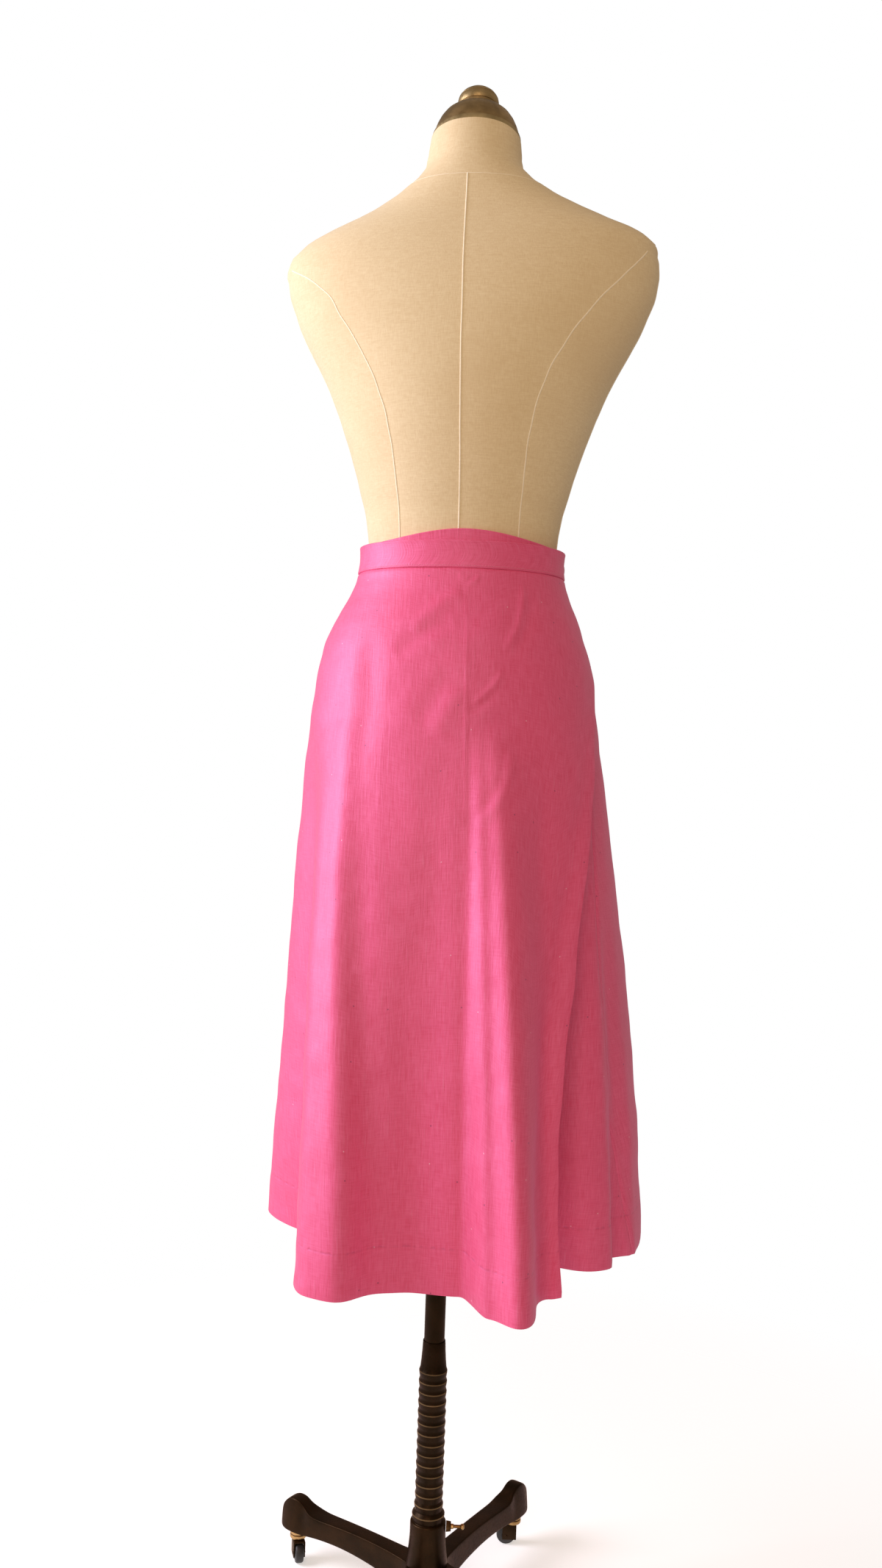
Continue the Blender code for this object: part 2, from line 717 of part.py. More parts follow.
make_button()
make_torso()
make_neck_cap()
make_post()
make_sleeve()
make_hub()
make_clamp()
for number in range(LEG_COUNT):
    leg = loft([leg_ring(*row) for row in LEG])
    shade(leg, 50)
    angle = LEG_TURN + 2.0 * math.pi * number / LEG_COUNT
    keep(leg, f"leg_{number}", IRON, stand, turn=(0.0, 0.0, angle))
    make_caster(number, CASTER_TURNS[number])
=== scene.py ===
import math

import bpy
import numpy as np
from mathutils import Matrix, Vector, noise
from mathutils.bvhtree import BVHTree


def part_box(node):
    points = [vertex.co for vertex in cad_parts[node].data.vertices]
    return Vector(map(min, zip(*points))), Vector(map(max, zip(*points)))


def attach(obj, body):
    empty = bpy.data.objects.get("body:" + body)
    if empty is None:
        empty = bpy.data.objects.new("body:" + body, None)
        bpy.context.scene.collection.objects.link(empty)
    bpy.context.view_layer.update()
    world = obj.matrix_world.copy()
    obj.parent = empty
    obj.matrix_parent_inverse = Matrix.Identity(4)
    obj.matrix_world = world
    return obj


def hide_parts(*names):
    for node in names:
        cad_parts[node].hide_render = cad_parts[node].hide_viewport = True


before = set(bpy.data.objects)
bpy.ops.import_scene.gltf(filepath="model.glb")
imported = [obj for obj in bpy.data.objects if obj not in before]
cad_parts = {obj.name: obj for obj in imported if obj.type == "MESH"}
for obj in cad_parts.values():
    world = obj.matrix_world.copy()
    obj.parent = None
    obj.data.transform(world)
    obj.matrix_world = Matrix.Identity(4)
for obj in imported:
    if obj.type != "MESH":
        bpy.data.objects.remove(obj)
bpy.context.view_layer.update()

# ---- the cast stand ------------------------------------------------------------------------------
# A sand-cast iron hub with four bolted legs and a ringed sleeve, all bronzed dark brown and
# lacquered. The post slides in the sleeve, and a plate on its top carries the form.

low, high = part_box("post")
AXIS = Vector((0.5 * (low.x + high.x), 0.5 * (low.y + high.y), 0.0))
POST_TOP = high.z
POST_FOOT = low.z
POST_RADIUS = 0.5 * (high.x - low.x)
PLATE_LOW, PLATE_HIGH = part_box("post_flange")
SLEEVE_BORE = 0.0121
SLEEVE_CREST = 0.0158
SLEEVE_GROOVE = 0.0146
SLEEVE_FOOT = 0.1108
SLEEVE_TOP = 0.2835
RING_COUNT = 15
SLEEVE_FLARE = 0.0030
FLARED_FROM = 13
SLEEVE_MOUTH = 0.030
HUB_RADIUS = 0.0235
HUB_COLLAR = 0.0200
HUB_FOOT = 0.020
HUB_TOP = 0.1105
CONE_TOP = 0.096
CONE_FOOT = 0.060
LEG_TURNS = [math.radians(61.5 + 90.0 * i) for i in range(4)]
LEG_EDGE = 0.0040
LEG = [
    # reach, mid height, width, height
    (0.0150, 0.0448, 0.0310, 0.0356),
    (0.0242, 0.0450, 0.0262, 0.0345),
    (0.0340, 0.0460, 0.0232, 0.0330),
    (0.0480, 0.0480, 0.0215, 0.0305),
    (0.0660, 0.0500, 0.0205, 0.0280),
    (0.0870, 0.0515, 0.0200, 0.0260),
    (0.1090, 0.0523, 0.0205, 0.0240),
    (0.1310, 0.0520, 0.0215, 0.0232),
    (0.1490, 0.0510, 0.0228, 0.0234),
    (0.1630, 0.0512, 0.0250, 0.0262),
    (0.1715, 0.0532, 0.0272, 0.0322),
    (0.1790, 0.0554, 0.0286, 0.0372),
    (0.1875, 0.0560, 0.0288, 0.0384),
    (0.1955, 0.0550, 0.0276, 0.0364),
    (0.2020, 0.0525, 0.0236, 0.0300),
    (0.2062, 0.0503, 0.0160, 0.0210),
]
LEG_START = 0.002
FOOT_FROM = 0.168
FOOT_TOP = 0.062
FOOT_CROWN = 0.60
# A metal's blotches are 26 mm across. The sand or tool marks are this deep, and this glossy.
PATINA_SCALE = 38.0
GRIT_DEPTH = 0.0004
METAL_ROUGHNESS = (0.30, 0.48)
# A ring's crest carries a painted highlight this far to each side, and none past the second figure.
CREST_HIGHLIGHT_HALF = 0.0003
CREST_HIGHLIGHT_END = 0.0009


def linear(hex_colour):
    """An sRGB hex colour as linear red, green, blue and alpha."""
    shares = [int(hex_colour[i:i + 2], 16) / 255.0 for i in (1, 3, 5)]
    return (*[s / 12.92 if s <= 0.04045 else ((s + 0.055) / 1.055) ** 2.4 for s in shares], 1.0)


def surface(name, **values):
    """A new material's node tree and shader, with the values that are the same all over it."""
    made = bpy.data.materials.new(name)
    made.use_nodes = True
    shader = made.node_tree.nodes["Principled BSDF"]
    for socket, value in values.items():
        shader.inputs[socket.replace("_", " ")].default_value = value
    return made, made.node_tree, shader


def node(tree, kind, sockets=None, **settings):
    """Adds a node with its settings. Each socket takes a value, or another node's output."""
    made = tree.nodes.new("ShaderNode" + kind)
    for setting, value in settings.items():
        setattr(made, setting, value)
    for socket, value in (sockets or {}).items():
        if isinstance(value, bpy.types.NodeSocket):
            tree.links.new(value, made.inputs[socket])
        else:
            made.inputs[socket].default_value = value
    return made


def metal(name, dark, light, worn_and_lit, grain, edges=None, rings=None, **values):
    """A cast or turned metal: blotched patina, a fine grain, and paler metal on bulging edges and ring
    crests.

    Edges says from how bulging to how bulging the paler edges grow: rubbing, and on the bronzed
    iron partly a painted highlight. Rings gives the height of one raised ring's crest and their
    pitch, and puts a painted highlight along each crest.
    """
    made, tree, shader = surface(name, **values)
    place = node(tree, "TexCoord").outputs["Object"]
    patina = node(tree, "TexNoise", {"Vector": place, "Scale": PATINA_SCALE, "Detail": 4.0}).outputs[0]
    patina = node(tree, "MapRange", {"Value": patina, "From Min": 0.35, "From Max": 0.65}).outputs[0]
    grit = node(tree, "TexNoise", {"Vector": place, "Scale": grain, "Detail": 3.0}).outputs[0]
    tones = {0: patina, 6: linear(dark), 7: linear(light)}
    colour = node(tree, "Mix", tones, data_type="RGBA").outputs[2]
    # Bulging edges grow paler: rubbing, and on the bronzed iron partly a painted highlight.
    if edges:
        bulge = node(tree, "NewGeometry").outputs["Pointiness"]
        bulging = {"Value": bulge, "From Min": edges[0], "From Max": edges[1]}
        wear_and_highlight = node(tree, "MapRange", bulging).outputs[0]
    # A thin pale line along each ring's crest: a painted highlight.
    if rings:
        crest, pitch = rings
        half = 0.5 * pitch
        height = node(tree, "SeparateXYZ", {0: place}).outputs["Z"]
        over = node(tree, "Math", {0: height, 1: crest}, operation="SUBTRACT").outputs[0]
        nearest = node(tree, "Math", {0: over, 1: half, 2: -half}, operation="WRAP").outputs[0]
        away = node(tree, "Math", {0: nearest}, operation="ABSOLUTE").outputs[0]
        close = {"Value": away, "From Min": CREST_HIGHLIGHT_END, "From Max": CREST_HIGHLIGHT_HALF}
        thin = node(tree, "MapRange", close).outputs[0]
        ringed = node(tree, "Math", {0: height, 1: crest + half}, operation="LESS_THAN").outputs[0]
        wear_and_highlight = node(tree, "Math", {0: thin, 1: ringed}, operation="MULTIPLY").outputs[0]
    if edges or rings:
        share = node(tree, "MapRange", {"Value": patina, "To Min": 0.45, "To Max": 1.0}).outputs[0]
        share = node(tree, "Math", {0: wear_and_highlight, 1: share}, operation="MULTIPLY").outputs[0]
        colour = node(tree, "Mix", {0: share, 6: colour, 7: linear(worn_and_lit)}, data_type="RGBA").outputs[2]
    tree.links.new(colour, shader.inputs["Base Color"])
    smooth, rough = METAL_ROUGHNESS
    gloss = {"Value": grit, "From Min": 0.3, "From Max": 0.7, "To Min": smooth, "To Max": rough}
    tree.links.new(node(tree, "MapRange", gloss).outputs[0], shader.inputs["Roughness"])
    relief = node(tree, "Bump", {"Height": grit, "Strength": 0.25, "Distance": GRIT_DEPTH})
    tree.links.new(relief.outputs[0], shader.inputs["Normal"])
    return made


# Sand-cast iron under a brown bronzing lacquer: nearly black, with soft brown glints, and paler
# on the corners, partly from rubbing and partly a painted highlight. The sand grain of 2.5 mm is
# coarser than the real one.
LACQUER = {"Metallic": 0.5, "Specular_Tint": linear("#e0b88c")}
IRON = metal(
    "bronzed_cast_iron", "#120a04", "#27180c", "#7a5a34", 400.0, (0.56, 0.64),
    Specular_IOR_Level=0.40, **LACQUER,
)
# The same iron for the ringed sleeve, with a thin pale painted highlight along the crest of each ring.
RING_PITCH = (SLEEVE_TOP - SLEEVE_FOOT) / RING_COUNT
CREST_DOWN = 0.30
RINGED_IRON = metal(
    "ringed_iron_crest_highlight", "#120a04", "#20130a", "#7c6548", 400.0,
    rings=(SLEEVE_TOP - CREST_DOWN * RING_PITCH, RING_PITCH),
    Specular_IOR_Level=0.40, **LACQUER,
)
# Drawn steel tube under the same lacquer, with no corners to rub.
STEEL = metal(
    "bronzed_steel_tube", "#150c05", "#26180c", "#26180c", 300.0,
    Specular_IOR_Level=0.45, **LACQUER,
)


def deselect():
    """Nothing selected, so that the next operator acts on its own piece alone."""
    if bpy.context.object and bpy.context.object.mode != "OBJECT":
        bpy.ops.object.mode_set(mode="OBJECT")
    bpy.ops.object.select_all(action="DESELECT")


def take(piece):
    """The piece alone, selected and active."""
    deselect()
    piece.select_set(True)
    bpy.context.view_layer.objects.active = piece
    return piece


def shaped(piece, *modifiers):
    """Adds modifiers, each a kind with its settings, and applies them in turn."""
    take(piece)
    for kind, settings in modifiers:
        made = piece.modifiers.new(kind.lower(), kind)
        for setting, value in settings.items():
            setattr(made, setting, value)
        bpy.ops.object.modifier_apply(modifier=made.name)
    return piece


def settled(piece, turn=(0.0, 0.0, 0.0), place=(0.0, 0.0, 0.0)):
    """Turns and moves a piece, and puts that into its mesh."""
    take(piece)
    piece.rotation_euler = turn
    piece.location = place
    bpy.ops.object.transform_apply(location=True, rotation=True, scale=True)
    return piece


def finished(piece, name, finish, body, slot, *nodes, smooth=35.0):
    """Names a piece, gives it its finish, and says what it rides on and what CAD nodes it replaces."""
    take(piece)
    bpy.ops.object.shade_smooth_by_angle(angle=math.radians(smooth))
    piece.name = name
    piece.data.name = name
    piece.data.materials.clear()
    piece.data.materials.append(finish)
    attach(piece, body)
    if nodes:
        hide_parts(*nodes)
    return piece


def turned(profile, steps, bored=False):
    """A piece turned about Z: its profile is drawn point by point beside the axis and spun round."""
    deselect()
    first = profile[0]
    bpy.ops.mesh.primitive_plane_add(size=0.001, location=(first[0], 0.0, first[1]))
    piece = bpy.context.object
    bpy.ops.object.transform_apply(location=True)
    bpy.ops.object.mode_set(mode="EDIT")
    bpy.ops.mesh.select_mode(type="VERT")
    bpy.ops.mesh.select_all(action="SELECT")
    bpy.ops.mesh.merge(type="CENTER")
    path = list(profile) + ([first] if bored else [])
    for (radius, height), (next_radius, next_height) in zip(path, path[1:]):
        step = (next_radius - radius, 0.0, next_height - height)
        bpy.ops.mesh.extrude_region_move(TRANSFORM_OT_translate={"value": step})
    bpy.ops.mesh.select_all(action="SELECT")
    bpy.ops.mesh.spin(steps=steps, angle=2.0 * math.pi, center=(0.0, 0.0, 0.0), axis=(0.0, 0.0, 1.0))
    bpy.ops.mesh.select_all(action="SELECT")
    bpy.ops.mesh.remove_doubles(threshold=0.00002)
    bpy.ops.mesh.normals_make_consistent(inside=False)
    bpy.ops.object.mode_set(mode="OBJECT")
    return piece


def soft_step(share):
    """A soft step from 0 to 1."""
    share = np.clip(share, 0.0, 1.0)
    return share * share * (3.0 - 2.0 * share)


def sleeve_profile():
    """The sleeve's outside from its thin mouth down its rings, and its bore."""
    mouth = SLEEVE_TOP + SLEEVE_MOUTH
    outside = [
        (SLEEVE_BORE + 0.0002, mouth),
        (SLEEVE_BORE + 0.0004, mouth - 0.0006),
        (SLEEVE_BORE + 0.0009, mouth - 0.0110),
        (SLEEVE_BORE + 0.0017, mouth - 0.0220),
        (SLEEVE_GROOVE, SLEEVE_TOP),
    ]
    one_ring = [
        # share of the pitch down from its top, radius
        (0.22, SLEEVE_CREST - 0.0003),
        (CREST_DOWN, SLEEVE_CREST),
        (0.42, SLEEVE_CREST - 0.0001),
        (0.82, SLEEVE_GROOVE + 0.0004),
        (0.96, SLEEVE_GROOVE),
    ]
    for i in range(RING_COUNT):
        top = SLEEVE_TOP - i * RING_PITCH
        flare = SLEEVE_FLARE * float(soft_step((i + 0.5 - FLARED_FROM) / (RING_COUNT - FLARED_FROM)))
        outside += [(radius + flare, top - down * RING_PITCH) for down, radius in one_ring]
    outside.append((SLEEVE_GROOVE + SLEEVE_FLARE, SLEEVE_FOOT))
    return outside + [(SLEEVE_BORE, SLEEVE_FOOT), (SLEEVE_BORE, mouth)]


sleeve = settled(turned(sleeve_profile(), 48, bored=True), place=AXIS)
finished(sleeve, "ringed_sleeve", RINGED_IRON, "stand", "iron", "sleeve")

hub_profile = [
    (HUB_COLLAR - 0.0009, HUB_TOP),
    (HUB_COLLAR - 0.0003, HUB_TOP - 0.0005),
    (HUB_COLLAR, HUB_TOP - 0.0015),
    (HUB_COLLAR, CONE_TOP),
    (HUB_COLLAR + 0.0003, CONE_TOP - 0.0060),
    (HUB_RADIUS - 0.0024, CONE_FOOT + 0.0200),
    (HUB_RADIUS - 0.0007, CONE_FOOT + 0.0060),
    (HUB_RADIUS, CONE_FOOT - 0.0020),
    (HUB_RADIUS, HUB_FOOT + 0.0080),
    (HUB_RADIUS - 0.0012, HUB_FOOT + 0.0040),
    (HUB_RADIUS - 0.0050, HUB_FOOT),
    (SLEEVE_BORE, HUB_FOOT),
    (SLEEVE_BORE, HUB_TOP),
]
hub = settled(turned(hub_profile, 48, bored=True), place=AXIS)
finished(hub, "cast_hub", IRON, "stand", "iron", "hub")

post_profile = [
    (0.0, POST_TOP),
    (POST_RADIUS - 0.0006, POST_TOP),
    (POST_RADIUS, POST_TOP - 0.0006),
    (POST_RADIUS, POST_FOOT + 0.0006),
    (POST_RADIUS - 0.0006, POST_FOOT),
    (0.0, POST_FOOT),
]
post = settled(turned(post_profile, 48), place=AXIS)
finished(post, "sliding_post", STEEL, "post", "iron", "post")

plate_radius = 0.5 * (PLATE_HIGH.x - PLATE_LOW.x)
plate_profile = [
    (0.0, PLATE_HIGH.z),
    (plate_radius - 0.0012, PLATE_HIGH.z),
    (plate_radius, PLATE_HIGH.z - 0.0012),
    (plate_radius, PLATE_LOW.z + 0.0016),
    (plate_radius - 0.0016, PLATE_LOW.z),
    (0.0190, PLATE_LOW.z),
    (0.0, PLATE_LOW.z),
]
plate = settled(turned(plate_profile, 48), place=AXIS)
finished(plate, "post_plate", IRON, "post", "iron", "post_flange")


def cast_leg():
    """A leg along X: a block drawn out and shaped section by section, its long edges rounded."""
    deselect()
    reach, middle, width, height = LEG[0]
    bpy.ops.mesh.primitive_cube_add(size=1.0, location=(reach + 0.5, 0.0, middle))
    leg = bpy.context.object
    leg.scale = (1.0, width, height)
    bpy.ops.object.transform_apply(location=True, scale=True)
    for vertex in leg.data.vertices:
        if vertex.co.x > reach + 0.5:
            vertex.co.x = reach + LEG_START
    bpy.ops.object.mode_set(mode="EDIT")
    bpy.ops.mesh.select_mode(type="FACE")
    bpy.ops.mesh.select_all(action="DESELECT")
    bpy.ops.object.mode_set(mode="OBJECT")
    for face in leg.data.polygons:
        face.select = face.normal.x > 0.9
    bpy.ops.object.mode_set(mode="EDIT")
    at = reach + LEG_START
    for next_reach, next_middle, next_width, next_height in LEG[1:]:
        step = (next_reach - at, 0.0, next_middle - middle)
        bpy.ops.mesh.extrude_region_move(TRANSFORM_OT_translate={"value": step})
        growth = (1.0, next_width / width, next_height / height)
        bpy.ops.transform.resize(value=growth, center_override=(next_reach, 0.0, next_middle))
        at, middle, width, height = next_reach, next_middle, next_width, next_height
    bpy.ops.object.mode_set(mode="OBJECT")
    for vertex in leg.data.vertices:
        if vertex.co.x > FOOT_FROM and vertex.co.z > FOOT_TOP:
            vertex.co.y *= FOOT_CROWN
    corners = {"limit_method": "ANGLE", "angle_limit": math.radians(40)}
    return shaped(
        leg,
        ("BEVEL", {"width": LEG_EDGE, "segments": 2, **corners}),
        ("SUBSURF", {"levels": 2, "render_levels": 2}),
    )


def copy_of(piece):
    """A copy of a piece with its own mesh."""
    made = piece.copy()
    made.data = piece.data.copy()
    bpy.context.scene.collection.objects.link(made)
    return made


first_leg = cast_leg()
for i, angle in enumerate(LEG_TURNS):
    leg = settled(copy_of(first_leg), (0.0, 0.0, angle), AXIS)
    finished(leg, f"cast_leg_{i}", IRON, "stand", "iron", f"leg_{i}", smooth=60.0)
bpy.data.objects.remove(first_leg)

# ---- the thumb screw -----------------------------------------------------------------------------
# A brass screw in a small iron boss on the hub's right side. Turned by hand, it grips the post.

SCREW_TURN = math.radians(5)
SCREW_HEIGHT = 0.104
SCREW_FOOT = HUB_COLLAR + 0.0003
SCREW_OUT = Vector((math.cos(SCREW_TURN), math.sin(SCREW_TURN), 0.0))
SCREW_PLACE = AXIS + SCREW_FOOT * SCREW_OUT + Vector((0.0, 0.0, SCREW_HEIGHT))
SIDEWAYS = (0.0, math.pi / 2, SCREW_TURN)

# Turned brass, tarnished brown in its hollows and bright where fingers rub it.
BRASS = metal(
    "tarnished_brass", "#5a3b1c", "#8a6236", "#d9b27a", 500.0, (0.51, 0.57), Metallic=1.0,
)

boss_profile = [(0.0048, 0.0055), (0.0052, 0.0050), (0.0058, 0.0), (0.0034, 0.0), (0.0034, 0.0055)]
boss = settled(turned(boss_profile, 32, bored=True), SIDEWAYS, SCREW_PLACE)
finished(boss, "screw_boss", IRON, "stand", "iron", "clamp_boss")

screw_profile = [
    # radius, distance out from the boss's foot
    (0.0, 0.0205),
    (0.0016, 0.0203),
    (0.0027, 0.0197),
    (0.0032, 0.0186),
    (0.0030, 0.0172),
    (0.0020, 0.0160),
    (0.0018, 0.0152),
    (0.0018, 0.0090),
    (0.0024, 0.0082),
    (0.0027, 0.0078),
    (0.0027, 0.0005),
    (0.0, 0.0005),
]
screw = settled(turned(screw_profile, 32), SIDEWAYS, SCREW_PLACE)
finished(screw, "thumb_screw", BRASS, "clamp", "brass", "clamp_screw")

# ---- the casters ---------------------------------------------------------------------------------
# Under each foot a brass ring holds a folded fork of blackened steel, which swivels. A black wheel
# of hard rubber rolls in it on a riveted pin.

CASTER_TURNS = [math.radians(turn) for turn in (95.5, 200.0, 310.0, 115.0)]
WHEEL_RADIUS = 0.0115
WHEEL_HALF = 0.0050
PIN_RADIUS = 0.0019
FORK_HALF = 0.0070



def clouded(name, dark, light, scale, detail, dents=None, **values):
    """A finish of two tones that a noise mixes. Dents gives the strength and depth of its bumps."""
    made, tree, shader = surface(name, **values)
    place = node(tree, "TexCoord").outputs["Object"]
    cloud = node(tree, "TexNoise", {"Vector": place, "Scale": scale, "Detail": detail}).outputs[0]
    tones = {0: cloud, 6: linear(dark), 7: linear(light)}
    tree.links.new(node(tree, "Mix", tones, data_type="RGBA").outputs[2], shader.inputs["Base Color"])
    if dents:
        relief = node(tree, "Bump", {"Height": cloud, "Strength": dents[0], "Distance": dents[1]})
        tree.links.new(relief.outputs[0], shader.inputs["Normal"])
    return made


# Moulded ebonite-like rubber: black, dulled by floor dust that lies in soft smudges.
RUBBER = clouded(
    "hard_black_rubber", "#0a0909", "#2b2724", 260.0, 4.0, (0.2, 0.0002), Roughness=0.5, IOR=1.52,
)

low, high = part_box("caster_ring_0")
RING_RADIUS = 0.0098
ring_profile = [
    # radius, height over the floor: two rounded bands with a groove between them
    (0.0, high.z),
    (RING_RADIUS - 0.0013, high.z),
    (RING_RADIUS - 0.0004, 0.0361),
    (RING_RADIUS, 0.0350),
    (RING_RADIUS, 0.0325),
    (RING_RADIUS - 0.0004, 0.0317),
    (RING_RADIUS - 0.0014, 0.0314),
    (RING_RADIUS - 0.0014, 0.0310),
    (RING_RADIUS - 0.0004, 0.0307),
    (RING_RADIUS, 0.0299),
    (RING_RADIUS, 0.0274),
    (RING_RADIUS - 0.0005, 0.0264),
    (RING_RADIUS - 0.0013, low.z),
    (0.0, low.z),
]
wheel_profile = [
    (0.0, WHEEL_HALF - 0.0006),
    (0.0040, WHEEL_HALF - 0.0006),
    (0.0044, WHEEL_HALF - 0.0002),
    (0.0050, WHEEL_HALF),
    (0.0078, WHEEL_HALF),
    (0.0084, WHEEL_HALF - 0.0004),
    (WHEEL_RADIUS - 0.0012, WHEEL_HALF - 0.0006),
    (WHEEL_RADIUS - 0.0003, WHEEL_HALF - 0.0016),
    (WHEEL_RADIUS, WHEEL_HALF - 0.0028),
]
wheel_profile += [(radius, -height) for radius, height in reversed(wheel_profile)]
pin_profile = [
    (0.0, FORK_HALF + 0.0009),
    (PIN_RADIUS * 0.7, FORK_HALF + 0.0007),
    (PIN_RADIUS, FORK_HALF + 0.0001),
    (PIN_RADIUS * 0.6, FORK_HALF),
]
pin_profile += [(radius, -height) for radius, height in reversed(pin_profile)]

for i, facing in enumerate(CASTER_TURNS):
    low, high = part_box(f"caster_ring_{i}")
    under_foot = (0.5 * (low.x + high.x), 0.5 * (low.y + high.y), 0.0)
    ring = settled(turned(ring_profile, 40), place=under_foot)
    finished(ring, f"foot_ring_{i}", BRASS, "stand", "brass", f"caster_ring_{i}")

    low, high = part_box(f"caster_wheel_{i}")
    axle = 0.5 * (low + high)
    across = (0.0, math.pi / 2, facing)
    wheel = settled(turned(wheel_profile, 40), across, axle)
    finished(wheel, f"rolling_wheel_{i}", RUBBER, f"wheel_{i}", "wheel", f"caster_wheel_{i}")
    pin = settled(turned(pin_profile, 20), across, axle)
    finished(pin, f"wheel_pin_{i}", STEEL, f"swivel_{i}", "iron")

    fork = copy_of(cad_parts[f"caster_fork_{i}"])
    fork.parent = None
    take(fork)
    bpy.ops.object.mode_set(mode="EDIT")
    bpy.ops.mesh.select_all(action="SELECT")
    bpy.ops.mesh.remove_doubles(threshold=0.00001)
    bpy.ops.mesh.dissolve_limited(angle_limit=math.radians(1))
    bpy.ops.object.mode_set(mode="OBJECT")
    shaped(fork, ("BEVEL", {"width": 0.0004, "segments": 2, "limit_method": "ANGLE"}))
    finished(fork, f"folded_fork_{i}", STEEL, f"swivel_{i}", "iron", f"caster_fork_{i}")

# ---- the dress form ------------------------------------------------------------------------------
# A padded form covered in fine cream cloth, cut in panels from neck to hip. Cream piping stands a
# little proud along each seam, and a bronze cap with a turned finial closes the leaning neck.

# The heights of the form and of the skirt start this far over the floor.
FORM_RISE = 0.020
PIPING_RADIUS = 0.0009
NECK_SEAM_RADIUS = 0.0004
NECK_SEAM_Z = 1.5555
NECK_TILT = math.radians(10)
NECK_TOP = 1.6103
ROUNDNESS = 2.12

CANVAS, canvas_tree, canvas_shader = surface(
    "cream_cotton_canvas", Roughness=0.85, IOR=1.53, Sheen_Weight=0.15,
)
# Plain-woven cotton stretched over padding: matt and even, with a faint cross grain. The weave is
# drawn at 1.2 mm, coarser than the real half millimetre, so that it shows.
CANVAS_WARP = (850.0, 850.0, 130.0)
CANVAS_WEFT = (120.0, 120.0, 900.0)
CANVAS_DEPTH = 0.0003
canvas_place = node(canvas_tree, "TexCoord").outputs["Object"]
threads = []
for scale in (CANVAS_WARP, CANVAS_WEFT):
    drawn_out = node(canvas_tree, "Mapping", {"Vector": canvas_place, "Scale": scale}).outputs[0]
    thread = node(canvas_tree, "TexNoise", {"Vector": drawn_out, "Scale": 1.0, "Detail": 2.0})
    threads.append(thread.outputs[0])
grain = node(canvas_tree, "Math", {0: threads[0], 1: threads[1]}, operation="ADD").outputs[0]
grain = node(canvas_tree, "MapRange", {"Value": grain, "From Min": 0.7, "From Max": 1.3}).outputs[0]
tones = {0: grain, 6: linear("#e0ca9f"), 7: linear("#ecdab2")}
cloth = node(canvas_tree, "Mix", tones, data_type="RGBA").outputs[2]
drift = node(canvas_tree, "TexNoise", {"Vector": canvas_place, "Scale": 9.0, "Detail": 3.0}).outputs[0]
patches = {"Value": drift, "From Min": 0.45, "From Max": 0.7, "To Max": 0.30}
aged = node(canvas_tree, "MapRange", patches).outputs[0]
tones = {0: aged, 6: cloth, 7: linear("#d4ba8c")}
cloth = node(canvas_tree, "Mix", tones, data_type="RGBA").outputs[2]
canvas_tree.links.new(cloth, canvas_shader.inputs["Base Color"])
canvas_bump = node(canvas_tree, "Bump", {"Height": grain, "Strength": 0.22, "Distance": CANVAS_DEPTH})
canvas_tree.links.new(canvas_bump.outputs[0], canvas_shader.inputs["Normal"])

TORSO_COLUMNS = 112
TORSO_ROWS = 130
TILT_FROM = 1.520
TORSO = [
    # height, left,  right,  back,   front
    (0.925, 0.1180, 0.1180, 0.0850, 0.0800),
    (0.937, 0.1330, 0.1330, 0.1020, 0.0960),
    (0.980, 0.1400, 0.1400, 0.1160, 0.1080),
    (1.030, 0.1320, 0.1320, 0.1080, 0.1030),
    (1.085, 0.1150, 0.1150, 0.0950, 0.0930),
    (1.130, 0.1030, 0.1030, 0.0850, 0.0840),
    (1.165, 0.1025, 0.1025, 0.0835, 0.0825),
    (1.187, 0.1045, 0.1045, 0.0845, 0.0835),
    (1.227, 0.1135, 0.1135, 0.0915, 0.0940),
    (1.259, 0.1225, 0.1225, 0.0980, 0.1070),
    (1.292, 0.1335, 0.1335, 0.1040, 0.1200),
    (1.324, 0.1455, 0.1455, 0.1080, 0.1270),
    (1.357, 0.1605, 0.1600, 0.1100, 0.1230),
    (1.389, 0.1780, 0.1770, 0.1090, 0.1130),
    (1.422, 0.1920, 0.1920, 0.1050, 0.1020),
    (1.454, 0.2010, 0.2015, 0.0980, 0.0910),
    (1.472, 0.2020, 0.2025, 0.0920, 0.0840),
    (1.487, 0.1920, 0.2000, 0.0860, 0.0770),
    (1.503, 0.1690, 0.1930, 0.0790, 0.0710),
    (1.520, 0.1330, 0.1580, 0.0720, 0.0660),
    (1.536, 0.1030, 0.1200, 0.0665, 0.0620),
    (1.552, 0.0790, 0.0870, 0.0615, 0.0590),
    (1.567, 0.0610, 0.0640, 0.0570, 0.0560),
    (1.585, 0.0530, 0.0520, 0.0525, 0.0525),
    (1.599, 0.0508, 0.0502, 0.0502, 0.0502),
    (1.610, 0.0492, 0.0490, 0.0490, 0.0490),
]


def curve_through(knots, values, at):
    """Values at places along a smooth curve through knots."""
    knots = np.asarray(knots, float)
    values = np.asarray(values, float)
    slopes = np.gradient(values, knots)
    i = np.clip(np.searchsorted(knots, at) - 1, 0, len(knots) - 2)
    span = knots[i + 1] - knots[i]
    t = np.clip((at - knots[i]) / span, 0.0, 1.0)
    start = values[i] + t * span * slopes[i]
    end = values[i + 1] - (1.0 - t) * span * slopes[i + 1]
    return start + (end - start) * t * t * (3.0 - 2.0 * t)


def oval_radius(table, turn, height):
    """Radius at an angle of a table's section at a height: an oval whose four half axes differ."""
    heights = [row[0] for row in table]
    half_axes = zip(*[row[1:] for row in table])
    left, right, back, front = (curve_through(heights, axis, height) for axis in half_axes)
    across = np.cos(turn)
    along = np.sin(turn)
    wide = np.abs(across / np.where(across > 0.0, right, left))
    deep = np.abs(along / np.where(along > 0.0, front, back))
    return (wide ** ROUNDNESS + deep ** ROUNDNESS) ** (-1.0 / ROUNDNESS)


